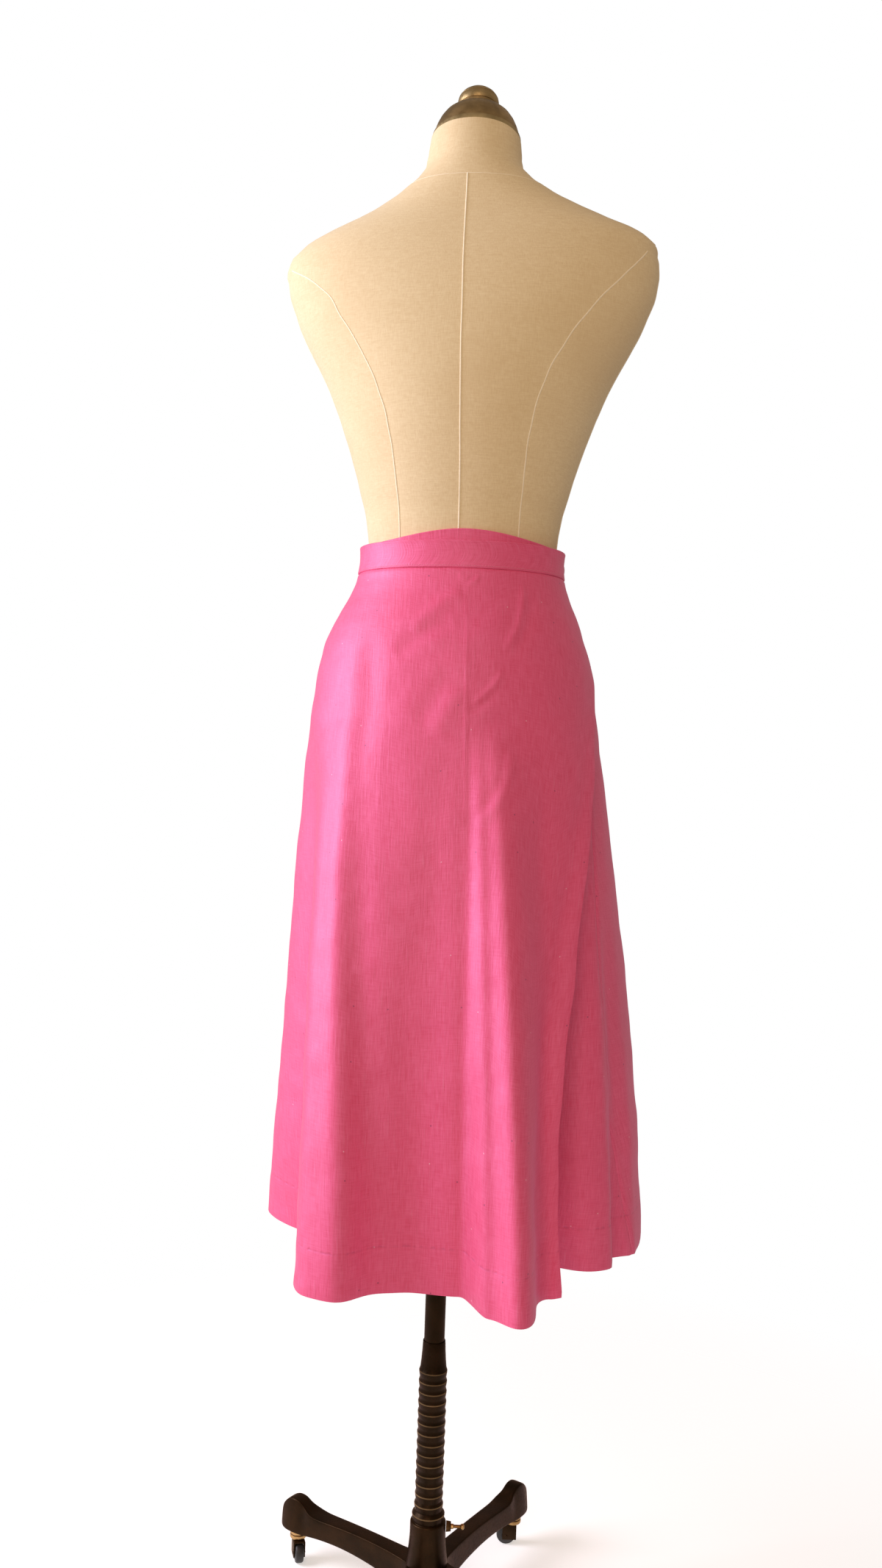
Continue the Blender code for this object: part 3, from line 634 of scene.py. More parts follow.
deselect()
bpy.ops.mesh.primitive_grid_add(x_subdivisions=TORSO_COLUMNS, y_subdivisions=TORSO_ROWS, size=1.0)
torso = bpy.context.object
fine = np.linspace(TORSO[0][0], TORSO[-1][0], 600)
side = curve_through([row[0] for row in TORSO], [row[2] for row in TORSO], fine)
path = np.concatenate([[0.0], np.cumsum(np.hypot(np.diff(fine), np.diff(side)))])
heights = np.interp(np.linspace(0.0, path[-1], TORSO_ROWS + 1), path, fine)
turns, heights = np.meshgrid(np.linspace(0.0, 2.0 * math.pi, TORSO_COLUMNS + 1), heights)
radius = oval_radius(TORSO, turns, heights)
lean = math.tan(NECK_TILT) * soft_step((heights - TILT_FROM) / (TORSO[-1][0] - TILT_FROM))
leaning = FORM_RISE + heights - lean * radius * np.sin(turns)
points = np.stack([AXIS.x + radius * np.cos(turns), AXIS.y + radius * np.sin(turns), leaning], axis=-1)
torso.data.vertices.foreach_set("co", points.reshape(-1))
bpy.ops.object.mode_set(mode="EDIT")
bpy.ops.mesh.select_mode(type="VERT")
bpy.ops.mesh.select_all(action="SELECT")
bpy.ops.mesh.remove_doubles(threshold=0.00001)
bpy.ops.mesh.select_all(action="DESELECT")
bpy.ops.mesh.select_non_manifold()
bpy.ops.mesh.fill_holes(sides=0)
bpy.ops.mesh.select_all(action="SELECT")
bpy.ops.mesh.normals_make_consistent(inside=False)
bpy.ops.object.mode_set(mode="OBJECT")
finished(torso, "form_cover", CANVAS, "form", "canvas", "torso", smooth=50.0)

# Piping is cotton cord in a strip of the cover's cloth, cut on the bias: smoother and paler.
PIPING = clouded(
    "cream_piping", "#efe0be", "#fff6e0", 500.0, 2.0, (0.3, 0.0003), Roughness=0.75, IOR=1.53,
)

SEAM_LINES = {
    # name: rows of height, angle round the form
    "back_left": [(1.463, 190), (1.433, 204), (1.400, 212), (1.357, 221), (1.319, 227), (1.283, 230),
                  (1.240, 230.5), (1.180, 229.5), (1.100, 229), (0.990, 231)],
    "back_right": [(1.483, 350), (1.446, 339), (1.404, 328), (1.367, 320), (1.330, 314), (1.287, 311),
                   (1.245, 311.5), (1.186, 314), (1.100, 315), (0.990, 312)],
    "centre_back": [(1.555, 268), (1.437, 270.4), (1.367, 271), (1.287, 271.8), (1.182, 272.5),
                    (0.990, 272)],
    "front_left": [(1.463, 172), (1.433, 158), (1.400, 148), (1.357, 139), (1.300, 132), (1.240, 130),
                   (1.180, 131), (1.100, 131), (0.990, 129)],
    "front_right": [(1.478, 9), (1.446, 21), (1.404, 31), (1.357, 40), (1.300, 47), (1.240, 49),
                    (1.180, 48), (1.100, 48), (0.990, 50)],
    "centre_front": [(1.553, 90), (1.437, 90), (1.330, 90), (1.182, 90), (0.990, 90)],
    "left_side": [(1.553, 180), (1.520, 181), (1.482, 182), (1.430, 181), (1.300, 180), (0.990, 180)],
    "right_side": [(1.553, 0), (1.525, 0), (1.490, -1), (1.440, -1), (1.300, 0), (0.990, 0)],
}
# The cords lie in the seams, sunk by these shares of their radius.
PIPING_SUNK = 0.3 * PIPING_RADIUS
NECK_SEAM_SUNK = 0.4 * NECK_SEAM_RADIUS
CORD_POINTS_PER_ROW = 12
OUTSIDE_FORM = 0.5

cover_tree = BVHTree.FromObject(torso, bpy.context.evaluated_depsgraph_get())


def on_cover(angle, height, sunk):
    """The point of the cover at an angle round the axis and a height, sunk into it a little."""
    outward = Vector((math.cos(math.radians(angle)), math.sin(math.radians(angle)), 0.0))
    level = AXIS + Vector((0.0, 0.0, FORM_RISE + height))
    hit, normal, _, _ = cover_tree.ray_cast(level + outward * OUTSIDE_FORM, -outward)
    return hit - normal * sunk


def put(name, data):
    """A new object of a mesh, curve, light or camera, put in the scene."""
    made = bpy.data.objects.new(name, data)
    bpy.context.scene.collection.objects.link(made)
    return made


def cord_on(points, radius, closed=False):
    """A round cord through points, as a mesh."""
    deselect()
    curve = bpy.data.curves.new("cord", "CURVE")
    curve.dimensions = "3D"
    curve.bevel_depth = radius
    curve.bevel_resolution = 2
    curve.use_fill_caps = not closed
    line = curve.splines.new("POLY")
    line.points.add(len(points) - 1)
    for point, place in zip(line.points, points):
        point.co = (*place, 1.0)
    line.use_cyclic_u = closed
    take(put("cord", curve))
    bpy.ops.object.convert(target="MESH")
    return bpy.context.object


def joined(pieces):
    """Several pieces as one."""
    take(pieces[0])
    for piece in pieces:
        piece.select_set(True)
    bpy.ops.object.join()
    return bpy.context.object


cords = []
for rows in SEAM_LINES.values():
    count = len(rows)
    steps = np.linspace(0.0, count - 1.0, CORD_POINTS_PER_ROW * count)
    heights = curve_through(range(count), [row[0] for row in rows], steps)
    angles = curve_through(range(count), [row[1] for row in rows], steps)
    seam = [on_cover(angle, height, PIPING_SUNK) for angle, height in zip(angles, heights)]
    cords.append(cord_on(seam, PIPING_RADIUS))
neck_seam = [on_cover(angle, NECK_SEAM_Z, NECK_SEAM_SUNK) for angle in range(0, 360, 5)]
cords.append(cord_on(neck_seam, NECK_SEAM_RADIUS, closed=True))
finished(joined(cords), "form_piping", PIPING, "form", "canvas", smooth=60.0)

# Spun bronze, aged to an olive brown, with paler streaks left by the lathe and by handling.
BRONZE = metal(
    "aged_bronze", "#7a6540", "#b09568", "#d4c494", 320.0, (0.52, 0.58), Metallic=0.85,
)

cap_profile = [
    # radius, height over the neck's top: the finial, then the steps of the domed cap
    (0.0, 0.0650),
    (0.0050, 0.0647),
    (0.0100, 0.0636),
    (0.0148, 0.0613),
    (0.0185, 0.0582),
    (0.0208, 0.0550),
    (0.0210, 0.0544),
    (0.0206, 0.0539),
    (0.0217, 0.0532),
    (0.0224, 0.0500),
    (0.0224, 0.0470),
    (0.0218, 0.0446),
    (0.0212, 0.0441),
    (0.0214, 0.0434),
    (0.0206, 0.0410),
    (0.0207, 0.0402),
    (0.0220, 0.0394),
    (0.0262, 0.0376),
    (0.0320, 0.0342),
    (0.0372, 0.0293),
    (0.0414, 0.0229),
    (0.0444, 0.0160),
    (0.0462, 0.0100),
    (0.0466, 0.0078),
    (0.0467, 0.0070),
    (0.0478, 0.0063),
    (0.0484, 0.0046),
    (0.0484, 0.0008),
    (0.0478, 0.0),
    (0.0, 0.0),
]
cap_foot = AXIS + Vector((0.0, 0.0, FORM_RISE + NECK_TOP))
cap = settled(turned(cap_profile, 64), (-NECK_TILT, 0.0, 0.0), cap_foot)
finished(cap, "neck_cap_and_finial", BRONZE, "form", "bronze", "neck_cap")

# ---- the skirt's panels --------------------------------------------------------------------------
# Three panels of linen-look cotton: the front, and two flaps that cross over the back. They are sewn
# at the sides, hemmed, and spiral round the form, so a wrap angle runs on past a full turn.

CLOTH = 0.0009
HEM_CLOTH = 0.0022
GAP = 0.0003
SEAM_Z = 1.139
HEM_Z = 0.438
HIP_Z = 0.970
HEM_DEPTH = 0.043
SEAM_DEPTH = 0.0012
SEAM_WIDTH = 0.0018
SEWN_COLUMNS = (2, 3)
WRAP_PITCH = 0.0036
HEM_LAYER_GAP = 0.007
BAND_START = 200.0
BAND_END = 745.0
LEFT_SEAM = 540.0
UNDER_RISE = 0.013
RISE_FROM = 205.0
RISE_TO = 350.0
FOLD_GROWTH = 0.9
FOLD_DRIFT = 1.4
RIDGE_GROWTH = 0.7
RIDGE_FADE = 0.12
ROW_CROWD = 1.25
HEM_SAMPLES = 800
# Soft unevenness, each kind with its size and depth. The cloth is calmer and smoother by the band.
BROAD_WAVES = (0.055, 0.0014)
FINE_WAVES = (0.022, 0.0005)
CALM_BY_BAND = 0.05
SMOOTH_BY_BAND = 0.006
# The turn-up is doubled cloth that stands a little proud, and its sewn top pulls the cloth in.
HEM_EASE = 0.004
THICK_PAST_HEM = 0.003
TURN_UP_PROUD = 0.0004
HEM_PULL = 0.0008
HEM_PULL_WIDTH = 0.0022
HEM_PULL_SHARE = 0.7
HEM_PULL_WAVES = (0.009, 0.9)
# The swing of the folds is evened out over these wrap angles, each with its share.
SOFTENING = [(-0.8, 0.25), (0.0, 0.50), (0.8, 0.25)]

SECTIONS = [
    # height, left,  right,  back,   front
    (0.438, 0.1880, 0.2230, 0.2290, 0.1900),
    (0.512, 0.1860, 0.2190, 0.2200, 0.1830),
    (0.609, 0.1810, 0.2100, 0.2060, 0.1740),
    (0.706, 0.1770, 0.1980, 0.1910, 0.1640),
    (0.804, 0.1740, 0.1845, 0.1740, 0.1530),
    (0.900, 0.1680, 0.1705, 0.1545, 0.1410),
    (0.950, 0.1645, 0.1635, 0.1440, 0.1330),
    (1.000, 0.1590, 0.1550, 0.1340, 0.1260),
    (1.047, 0.1520, 0.1450, 0.1245, 0.1185),
    (1.072, 0.1450, 0.1370, 0.1180, 0.1125),
    (1.096, 0.1335, 0.1290, 0.1085, 0.1050),
    (1.120, 0.1205, 0.1190, 0.0995, 0.0975),
    (1.139, 0.1150, 0.1135, 0.0950, 0.0935),
    (1.170, 0.1130, 0.1125, 0.0935, 0.0925),
]
FOLDS = [
    # at hem, at hip, radius at hem, hem drop, begins
    (214.0, 200.0, 0.146, 0.000, 1.00),
    (228.0, 208.0, 0.149, 0.000, 1.00),
    (250.0, 232.0, 0.198, 0.000, 1.00),
    (270.0, 266.0, 0.190, 0.000, 1.00),
    (290.0, 289.0, 0.214, 0.002, 0.98),
    (305.0, 310.0, 0.188, 0.003, 0.98),
    (325.5, 328.0, 0.228, 0.004, 0.90),
    (333.0, 337.0, 0.216, 0.005, 0.80),
    (342.0, 347.0, 0.228, 0.006, 0.90),
    (354.0, 358.0, 0.226, 0.006, 0.98),
    (374.0, 374.0, 0.203, 0.000, 0.96),
    (393.0, 389.0, 0.226, 0.002, 0.98),
    (415.0, 411.0, 0.184, 0.000, 0.97),
    (437.0, 434.0, 0.206, 0.002, 0.99),
    (456.0, 455.0, 0.176, 0.000, 0.95),
    (478.0, 474.0, 0.204, 0.002, 0.97),
    (500.0, 498.0, 0.174, 0.000, 0.96),
    (519.0, 515.0, 0.195, 0.000, 0.98),
    (533.0, 531.0, 0.182, 0.000, 0.93),
    (547.0, 543.0, 0.190, 0.000, 0.98),
    (585.0, 560.0, 0.156, 0.005, 0.98),
    (608.0, 583.0, 0.271, 0.006, 0.98),
    (630.0, 629.0, 0.228, 0.004, 1.00),
    (641.0, 640.0, 0.237, 0.003, 1.00),
    (645.5, 646.0, 0.274, 0.010, 0.98),
    (650.5, 651.5, 0.299, 0.009, 0.98),
    (661.5, 672.0, 0.246, 0.007, 0.86),
    (664.5, 706.0, 0.251, 0.004, 0.95),
]
EDGES = [
    # height, under edge, right seam, left seam, over edge
    (0.438, 214.0, 340.0, 548.0, 664.0),
    (0.540, 210.0, 335.0, 547.0, 664.5),
    (0.620, 207.5, 331.5, 546.0, 667.0),
    (0.715, 205.0, 331.0, 545.0, 673.0),
    (0.838, 203.0, 335.0, 543.0, 684.5),
    (0.924, 201.5, 340.0, 542.0, 696.0),
    (1.000, 201.0, 346.0, 541.0, 708.0),
    (1.139, 200.0, 358.0, 540.0, 745.0),
]
# Sharper ridges and troughs along the rows of folds.
FOLD_RIDGES = [
    # row of FOLDS, degrees past it, rise, width, lowest, highest
    (2, 0.0, 0.0020, 0.012, 0.44, 0.90),
    (4, 0.0, 0.0018, 0.010, 0.44, 0.86),
    (6, 1.0, 0.0022, 0.009, 0.44, 0.80),
    (7, 0.0, -0.0020, 0.007, 0.44, 0.74),
    (11, 0.0, 0.0024, 0.012, 0.44, 0.92),
    (12, 3.0, -0.0018, 0.014, 0.44, 0.84),
    (13, -1.0, 0.0018, 0.011, 0.44, 0.90),
    (15, 1.0, 0.0026, 0.012, 0.44, 0.94),
    (16, -2.0, -0.0022, 0.012, 0.44, 0.80),
    (17, 0.0, 0.0016, 0.010, 0.44, 0.88),
    (21, 6.8, 0.0085, 0.014, 0.44, 1.04),
    (21, 13.5, -0.0045, 0.014, 0.44, 0.92),
    (24, 0.3, -0.0036, 0.014, 0.44, 0.84),
    (25, 1.0, 0.0024, 0.016, 0.44, 0.98),
]
# Folds that run along the edges of the panels: the free edge stands out over the flap under it.
EDGE_FOLDS = [
    # column of EDGES, degrees past it, rise, width, lowest, highest
    (4, 0.0, 0.0050, 0.011, 0.44, 1.06),
    (4, -6.0, -0.0040, 0.012, 0.44, 0.92),
    (4, -368.0, -0.0060, 0.024, 0.44, 0.94),
    (4, -353.0, -0.0100, 0.022, 0.44, 1.00),
    (2, 0.0, 0.0020, 0.008, 0.44, 0.96),
]
# Creases that wearing and storage have left. Rise is out of the cloth, and a trough's is negative.
CREASES = [
    # wrap a, height a, wrap b, height b, bow, rise, width
    (638.9, 1.133, 642.0, 0.452, 0.000, 0.0005, 0.0022),
    (599.7, 1.100, 621.0, 0.480, 0.004, 0.0001, 0.0035),
    (672.9, 1.126, 657.5, 1.054, 0.004, 0.0013, 0.0042),
    (676.5, 1.110, 660.0, 1.048, 0.004, -0.0010, 0.0060),
    (655.5, 1.031, 642.0, 0.997, 0.003, 0.0013, 0.0036),
    (652.0, 1.012, 640.5, 0.990, 0.002, -0.0008, 0.0045),
    (634.0, 1.132, 640.5, 1.128, -0.002, 0.0005, 0.0024),
    (646.9, 1.131, 639.5, 1.122, 0.002, 0.0006, 0.0026),
    (611.0, 1.070, 637.4, 1.112, 0.006, 0.0014, 0.0090),
    (606.0, 1.045, 632.0, 1.080, 0.006, -0.0013, 0.0100),
    (627.0, 0.962, 638.4, 1.012, 0.004, 0.0014, 0.0110),
    (620.0, 0.975, 634.0, 1.030, 0.004, -0.0010, 0.0110),
    (657.4, 0.951, 643.5, 0.876, 0.007, 0.0019, 0.0060),
    (654.0, 0.930, 641.5, 0.872, 0.004, -0.0014, 0.0080),
    (590.0, 1.075, 597.0, 0.900, 0.006, -0.0012, 0.0120),
    (583.0, 1.060, 586.0, 0.930, 0.003, 0.0011, 0.0100),
    (655.0, 0.735, 651.0, 0.728, 0.001, 0.0008, 0.0035),
    (608.0, 0.735, 614.5, 0.727, 0.002, 0.0007, 0.0030),
    (671.0, 0.748, 666.0, 0.740, 0.001, -0.0012, 0.0045),
    (395.0, 1.120, 402.0, 1.040, 0.004, 0.0009, 0.0050),
    (470.0, 1.125, 462.0, 1.060, -0.003, 0.0008, 0.0045),
    (430.0, 0.900, 444.0, 0.930, 0.003, 0.0010, 0.0080),
    (486.0, 0.840, 472.0, 0.868, 0.003, 0.0009, 0.0070),
    (512.0, 1.100, 506.0, 1.010, 0.004, 0.0008, 0.0080),
    (372.0, 1.090, 377.0, 1.000, -0.004, 0.0008, 0.0080),
    (262.0, 0.980, 275.0, 1.010, 0.003, 0.0010, 0.0080),
    (238.0, 1.110, 233.0, 1.030, 0.003, 0.0008, 0.0060),
]


def read(table, index, height):
    """A column of a table at heights, as a smooth curve through its rows."""
    return curve_through([row[0] for row in table], [row[index] for row in table], height)


def plain_radius(wrap, height):
    """Radius of the skirt with no folds."""
    return oval_radius(SECTIONS, np.radians(wrap), height)


FOLD_SWING = [row[2] - float(plain_radius(row[0], HEM_Z)) for row in FOLDS]


def between_folds(wrap, angles, values):
    """A value that swings smoothly from one fold row to the next."""
    found = np.where(wrap <= angles[0], values[0], values[-1]) + 0.0 * wrap
    for i in range(len(angles) - 1):
        here = (wrap > angles[i]) & (wrap <= angles[i + 1])
        share = soft_step((wrap - angles[i]) / (angles[i + 1] - angles[i]))
        found = np.where(here, values[i] + (values[i + 1] - values[i]) * share, found)
    return found


def fold_angles(height):
    """Where each fold row lies at a height: folds drift sideways on their way up."""
    rise = np.clip((height - HEM_Z) / (HIP_Z - HEM_Z), 0.0, 1.0)
    return [row[0] + (row[1] - row[0]) * rise ** FOLD_DRIFT for row in FOLDS]


def layer_radius(wrap, height):
    """Radius of the wrapped cloth before an inner layer is held inside the outer one."""
    swings = []
    for row, swing in zip(FOLDS, FOLD_SWING):
        opened = np.clip((row[4] - height) / (row[4] - HEM_Z), 0.0, 1.0)
        swings.append(swing * opened ** FOLD_GROWTH)
    angles = fold_angles(height)
    swing = sum(share * between_folds(wrap + aside, angles, swings) for aside, share in SOFTENING)
    pitch_in = WRAP_PITCH * (BAND_END - wrap) / 360.0
    return plain_radius(wrap, height) + swing - pitch_in


def skirt_radius(wrap, height):
    """Radius of the skirt's outer surface: an inner layer stays inside the layer over it."""
    fallen = np.clip((SEAM_Z - height) / (SEAM_Z - HEM_Z), 0.0, 1.0)
    gap = WRAP_PITCH + (HEM_LAYER_GAP - WRAP_PITCH) * fallen
    radius = layer_radius(wrap, height)
    inner = np.minimum(radius, layer_radius(wrap + 360.0, height) - gap)
    return np.where(wrap < LEFT_SEAM, inner, radius)


def seam_height(wrap):
    """Height of the seam between panel and band."""
    share = np.clip((wrap - RISE_FROM) / (RISE_TO - RISE_FROM), 0.0, 1.0)
    return SEAM_Z + UNDER_RISE * np.sin(math.pi * share) ** 2


def hem_height(wrap):
    """Height of the hem."""
    drops = [row[3] for row in FOLDS]
    return HEM_Z - between_folds(wrap, fold_angles(0.0 * wrap + HEM_Z), drops)


def skirt_points(wrap, height, proud=0.0):
    """Points of the skirt's outer surface, or this far outside it."""
    radius = skirt_radius(wrap, height) + proud
    across = AXIS.x + radius * np.cos(np.radians(wrap))
    along = AXIS.y + radius * np.sin(np.radians(wrap))
    return np.stack([across, along, FORM_RISE + height], axis=-1)


def outward_of(points):
    """Unit normals of a grid of points, pointing away from the form."""
    along = np.gradient(points, axis=1)
    up = np.gradient(points, axis=0)
    normal = np.cross(along, up)
    return normal / np.linalg.norm(normal, axis=-1, keepdims=True)


def crease_relief(wrap, height):
    """How far the creases lift or sink the cloth."""
    relief = np.zeros_like(wrap)
    angles = fold_angles(height)
    guided = [(angles[row[0]], *row[1:]) for row in FOLD_RIDGES]
    guided += [(read(EDGES, row[0], height), *row[1:]) for row in EDGE_FOLDS]
    for guide, past, rise, width, lowest, highest in guided:
        aside = np.radians(wrap - guide - past) * plain_radius(wrap, height)
        opened = np.clip((highest - height) / (highest - HEM_Z), 0.0, 1.0) ** RIDGE_GROWTH
        there = opened * soft_step((height - lowest) / RIDGE_FADE + 1.0)
        relief += rise * there * np.exp(-(aside / width) ** 2)
    for wrap_a, height_a, wrap_b, height_b, bow, rise, width in CREASES:
        radius = float(plain_radius(0.5 * (wrap_a + wrap_b), 0.5 * (height_a + height_b)))
        across = np.radians(wrap - wrap_a) * radius
        down = height - height_a
        run = np.array([math.radians(wrap_b - wrap_a) * radius, height_b - height_a])
        length = float(np.hypot(*run))
        run /= length
        share = np.clip((across * run[0] + down * run[1]) / length, 0.0, 1.0)
        bend = bow * 4.0 * share * (1.0 - share)
        past = across * run[0] + down * run[1] - share * length
        aside = -across * run[1] + down * run[0] - bend
        strength = rise * (1.0 - (2.0 * share - 1.0) ** 6)
        relief += strength * np.exp(-(aside ** 2 + past ** 2) / width ** 2)
    return relief


def uneven(points, size, depth):
    """Soft unevenness of a given size and depth at each point of a grid."""
    flat = points.reshape(-1, 3) / size
    waves = [noise.noise(Vector(point)) for point in flat]
    return depth * np.array(waves).reshape(points.shape[:-1])


def cloth_grid(columns, rows, place, grain):
    """A grid of cloth put where place says, with a map of the cloth in metres of thread.

    The upright threads run along the wrap angle that grain names.
    """
    deselect()
    bpy.ops.mesh.primitive_grid_add(x_subdivisions=columns, y_subdivisions=rows, size=1.0)
    piece = bpy.context.object
    along, up = np.meshgrid(np.linspace(0.0, 1.0, columns + 1), np.linspace(0.0, 1.0, rows + 1))
    wrap, points = place(along, up)
    piece.data.vertices.foreach_set("co", points.reshape(-1))
    piece.data.update()
    run = np.linalg.norm(np.diff(points, axis=1), axis=-1)
    run = np.concatenate([np.zeros((rows + 1, 1)), np.cumsum(run, axis=1)], axis=1)
    run -= np.array([[np.interp(grain, turns, lengths)] for turns, lengths in zip(wrap, run)])
    fall = np.linalg.norm(np.diff(points, axis=0), axis=-1)
    fall = np.concatenate([np.zeros((1, columns + 1)), np.cumsum(fall, axis=0)], axis=0)
    thread = np.stack([run, fall], axis=-1).reshape(-1, 2)
    corner = np.zeros(len(piece.data.loops), int)
    piece.data.loops.foreach_get("vertex_index", corner)
    piece.data.uv_layers.active.data.foreach_set("uv", thread[corner].reshape(-1))
    return piece, points


def panel(start_column, end_column, grain, columns, rows):
    """A panel between two edges of the EDGES table, from its hem up to the band."""
    hem_start = EDGES[0][start_column]
    hem_end = EDGES[0][end_column]
    wraps = np.linspace(hem_start, hem_end, HEM_SAMPLES)
    hem = skirt_points(wraps, np.full_like(wraps, HEM_Z))
    run = np.concatenate([[0.0], np.cumsum(np.linalg.norm(np.diff(hem, axis=0), axis=1))])
    shares = (wraps - hem_start) / (hem_end - hem_start)

    def place(along, up):
        share = np.interp(along * run[-1], run, shares)
        lift = 1.0 - (1.0 - up) ** ROW_CROWD
        height = HEM_Z + (SEAM_Z - HEM_Z) * lift
        start = read(EDGES, start_column, height)
        end = read(EDGES, end_column, height)
        half_gap = np.degrees(0.5 * GAP / plain_radius(start, height))
        wrap = (start + half_gap) + (end - start - 2.0 * half_gap) * share
        foot = hem_height(wrap)
        head = seam_height(wrap) - 0.5 * GAP
        height = foot + (head - foot) * lift
        points = skirt_points(wrap, height)
        calm = soft_step((head - height) / CALM_BY_BAND)
        relief = crease_relief(wrap, height) * soft_step((head - height) / SMOOTH_BY_BAND)
        relief += calm * (uneven(points, *BROAD_WAVES) + uneven(points, *FINE_WAVES))
        turn_up = soft_step((HEM_DEPTH + 0.5 * HEM_EASE - (height - foot)) / HEM_EASE)
        pulled = np.exp(-((height - foot - HEM_DEPTH) / HEM_PULL_WIDTH) ** 2)
        by_stitch = HEM_PULL_SHARE + uneven(points, *HEM_PULL_WAVES)
        relief += TURN_UP_PROUD * turn_up - HEM_PULL * pulled * by_stitch
        relief -= SEAM_DEPTH * np.exp(-((head - height) / SEAM_WIDTH) ** 2)
        for edge, column in ((start, start_column), (end, end_column)):
            if column in SEWN_COLUMNS:
                aside = np.radians(wrap - edge) * plain_radius(wrap, height)
                relief -= SEAM_DEPTH * np.exp(-(aside / SEAM_WIDTH) ** 2)
        return wrap, points + outward_of(points) * relief[..., None]

    piece, _ = cloth_grid(columns, rows, place, grain)
    hemmed = piece.vertex_groups.new(name="hemmed")
    for row in range(rows + 1):
        rise = 1.0 - (1.0 - row / rows) ** ROW_CROWD
        at = (SEAM_Z - HEM_Z) * rise
        weight = float(soft_step((HEM_DEPTH + THICK_PAST_HEM - at) / HEM_EASE))
        first = row * (columns + 1)
        hemmed.add(list(range(first, first + columns + 1)), weight, "REPLACE")
    wall = {"thickness": HEM_CLOTH, "offset": -1.0, "use_even_offset": True}
    thinned = {"vertex_group": "hemmed", "thickness_vertex_group": CLOTH / HEM_CLOTH}
    shaped(piece, ("SOLIDIFY", {**wall, **thinned}))
    piece.vertex_groups.clear()
    return piece


LINEN, linen_tree, linen_shader = surface(
    "pink_linen_look_cotton",
    Roughness=0.58, IOR=1.53, Specular_IOR_Level=1.0, Specular_Tint=linear("#c2b4ff"),
    Sheen_Weight=0.30, Sheen_Roughness=0.50, Sheen_Tint=linear("#ffb0e8"),
    Coat_Weight=0.40, Coat_Roughness=0.50,
)
# Plain weave of uneven yarn: matt threads under a soft lustre, with upright slubs, a faint cross
# grain, a few dark flecks and pale nubs. Threads are drawn 1.1 mm apart, twice the real pitch, so
# that they show. A thread's two figures are metres across the cloth and up it.
WARP_THREAD = (0.0011, 0.0180)
WEFT_THREAD = (0.0140, 0.0011)
SLUB_THREAD = (0.0022, 0.0450)
HEM_DIMPLE = (0.0060, 0.0200)
HEM_LINE_WANDER = 0.0030
HEM_LINE_HALF = 0.0003
HEM_LINE_END = 0.0016
LINEN_DEPTH = 0.0005
thread_map = node(linen_tree, "UVMap").outputs[0]


def yarn(thread, roughness, detail):
    """Noise drawn out along a thread."""
    scale = (1.0 / thread[0], 1.0 / thread[1], 1.0)
    stretched = node(linen_tree, "Mapping", {"Vector": thread_map, "Scale": scale}).outputs[0]
    waves = {"Vector": stretched, "Scale": 1.0, "Detail": detail, "Roughness": roughness}
    return node(linen_tree, "TexNoise", waves).outputs[0]


warp = yarn(WARP_THREAD, 0.55, 3.0)
weft = yarn(WEFT_THREAD, 0.50, 2.0)
slub = yarn(SLUB_THREAD, 0.60, 2.0)
bloom = node(linen_tree, "TexNoise", {"Vector": thread_map, "Scale": 7.0, "Detail": 3.0}).outputs[0]
weave = node(linen_tree, "Math", {0: warp, 1: 0.62, 2: 0.0}, operation="MULTIPLY_ADD").outputs[0]
weave = node(linen_tree, "Math", {0: weft, 1: 0.38, 2: weave}, operation="MULTIPLY_ADD").outputs[0]

TONES = [
    # pattern, where it starts and is full, its full share, its colour
    (weave, 0.36, 0.64, 1.00, "#f56590"),
    (slub, 0.62, 0.78, 0.20, "#f39ab8"),
    (bloom, 0.40, 0.70, 0.16, "#d64e72"),
]
dyed = linear("#e74970")
for pattern, starts, full, most, colour in TONES:
    span = {"Value": pattern, "From Min": starts, "From Max": full, "To Max": most}
    share = node(linen_tree, "MapRange", span).outputs[0]
    layers = {0: share, 6: dyed, 7: linear(colour)}
    dyed = node(linen_tree, "Mix", layers, data_type="RGBA").outputs[2]

FLECKS = [
    # metres apart, size, colour, where the pattern starts
    (0.052, 0.0009, "#8c2f4c", 3.0),
    (0.071, 0.0007, "#ffc9dc", 11.0),
]
for spacing, size, colour, start in FLECKS:
    shift = {"Vector": thread_map, "Location": (start, start, 0.0)}
    cells = {"Vector": node(linen_tree, "Mapping", shift).outputs[0], "Scale": 1.0 / spacing}
    dots = node(linen_tree, "TexVoronoi", cells, voronoi_dimensions="2D")
    inner, outer = 0.6 * size / spacing, 1.1 * size / spacing
    edge = {"From Min": inner, "From Max": outer, "To Min": 0.7, "To Max": 0.0}
    spot = node(linen_tree, "MapRange", {"Value": dots.outputs["Distance"], **edge}).outputs[0]
    half = {0: dots.outputs["Color"], 1: 0.5}
    some = node(linen_tree, "Math", half, operation="GREATER_THAN").outputs[0]
    share = node(linen_tree, "Math", {0: spot, 1: some}, operation="MULTIPLY").outputs[0]
    layers = {0: share, 6: dyed, 7: linear(colour)}
    dyed = node(linen_tree, "Mix", layers, data_type="RGBA").outputs[2]
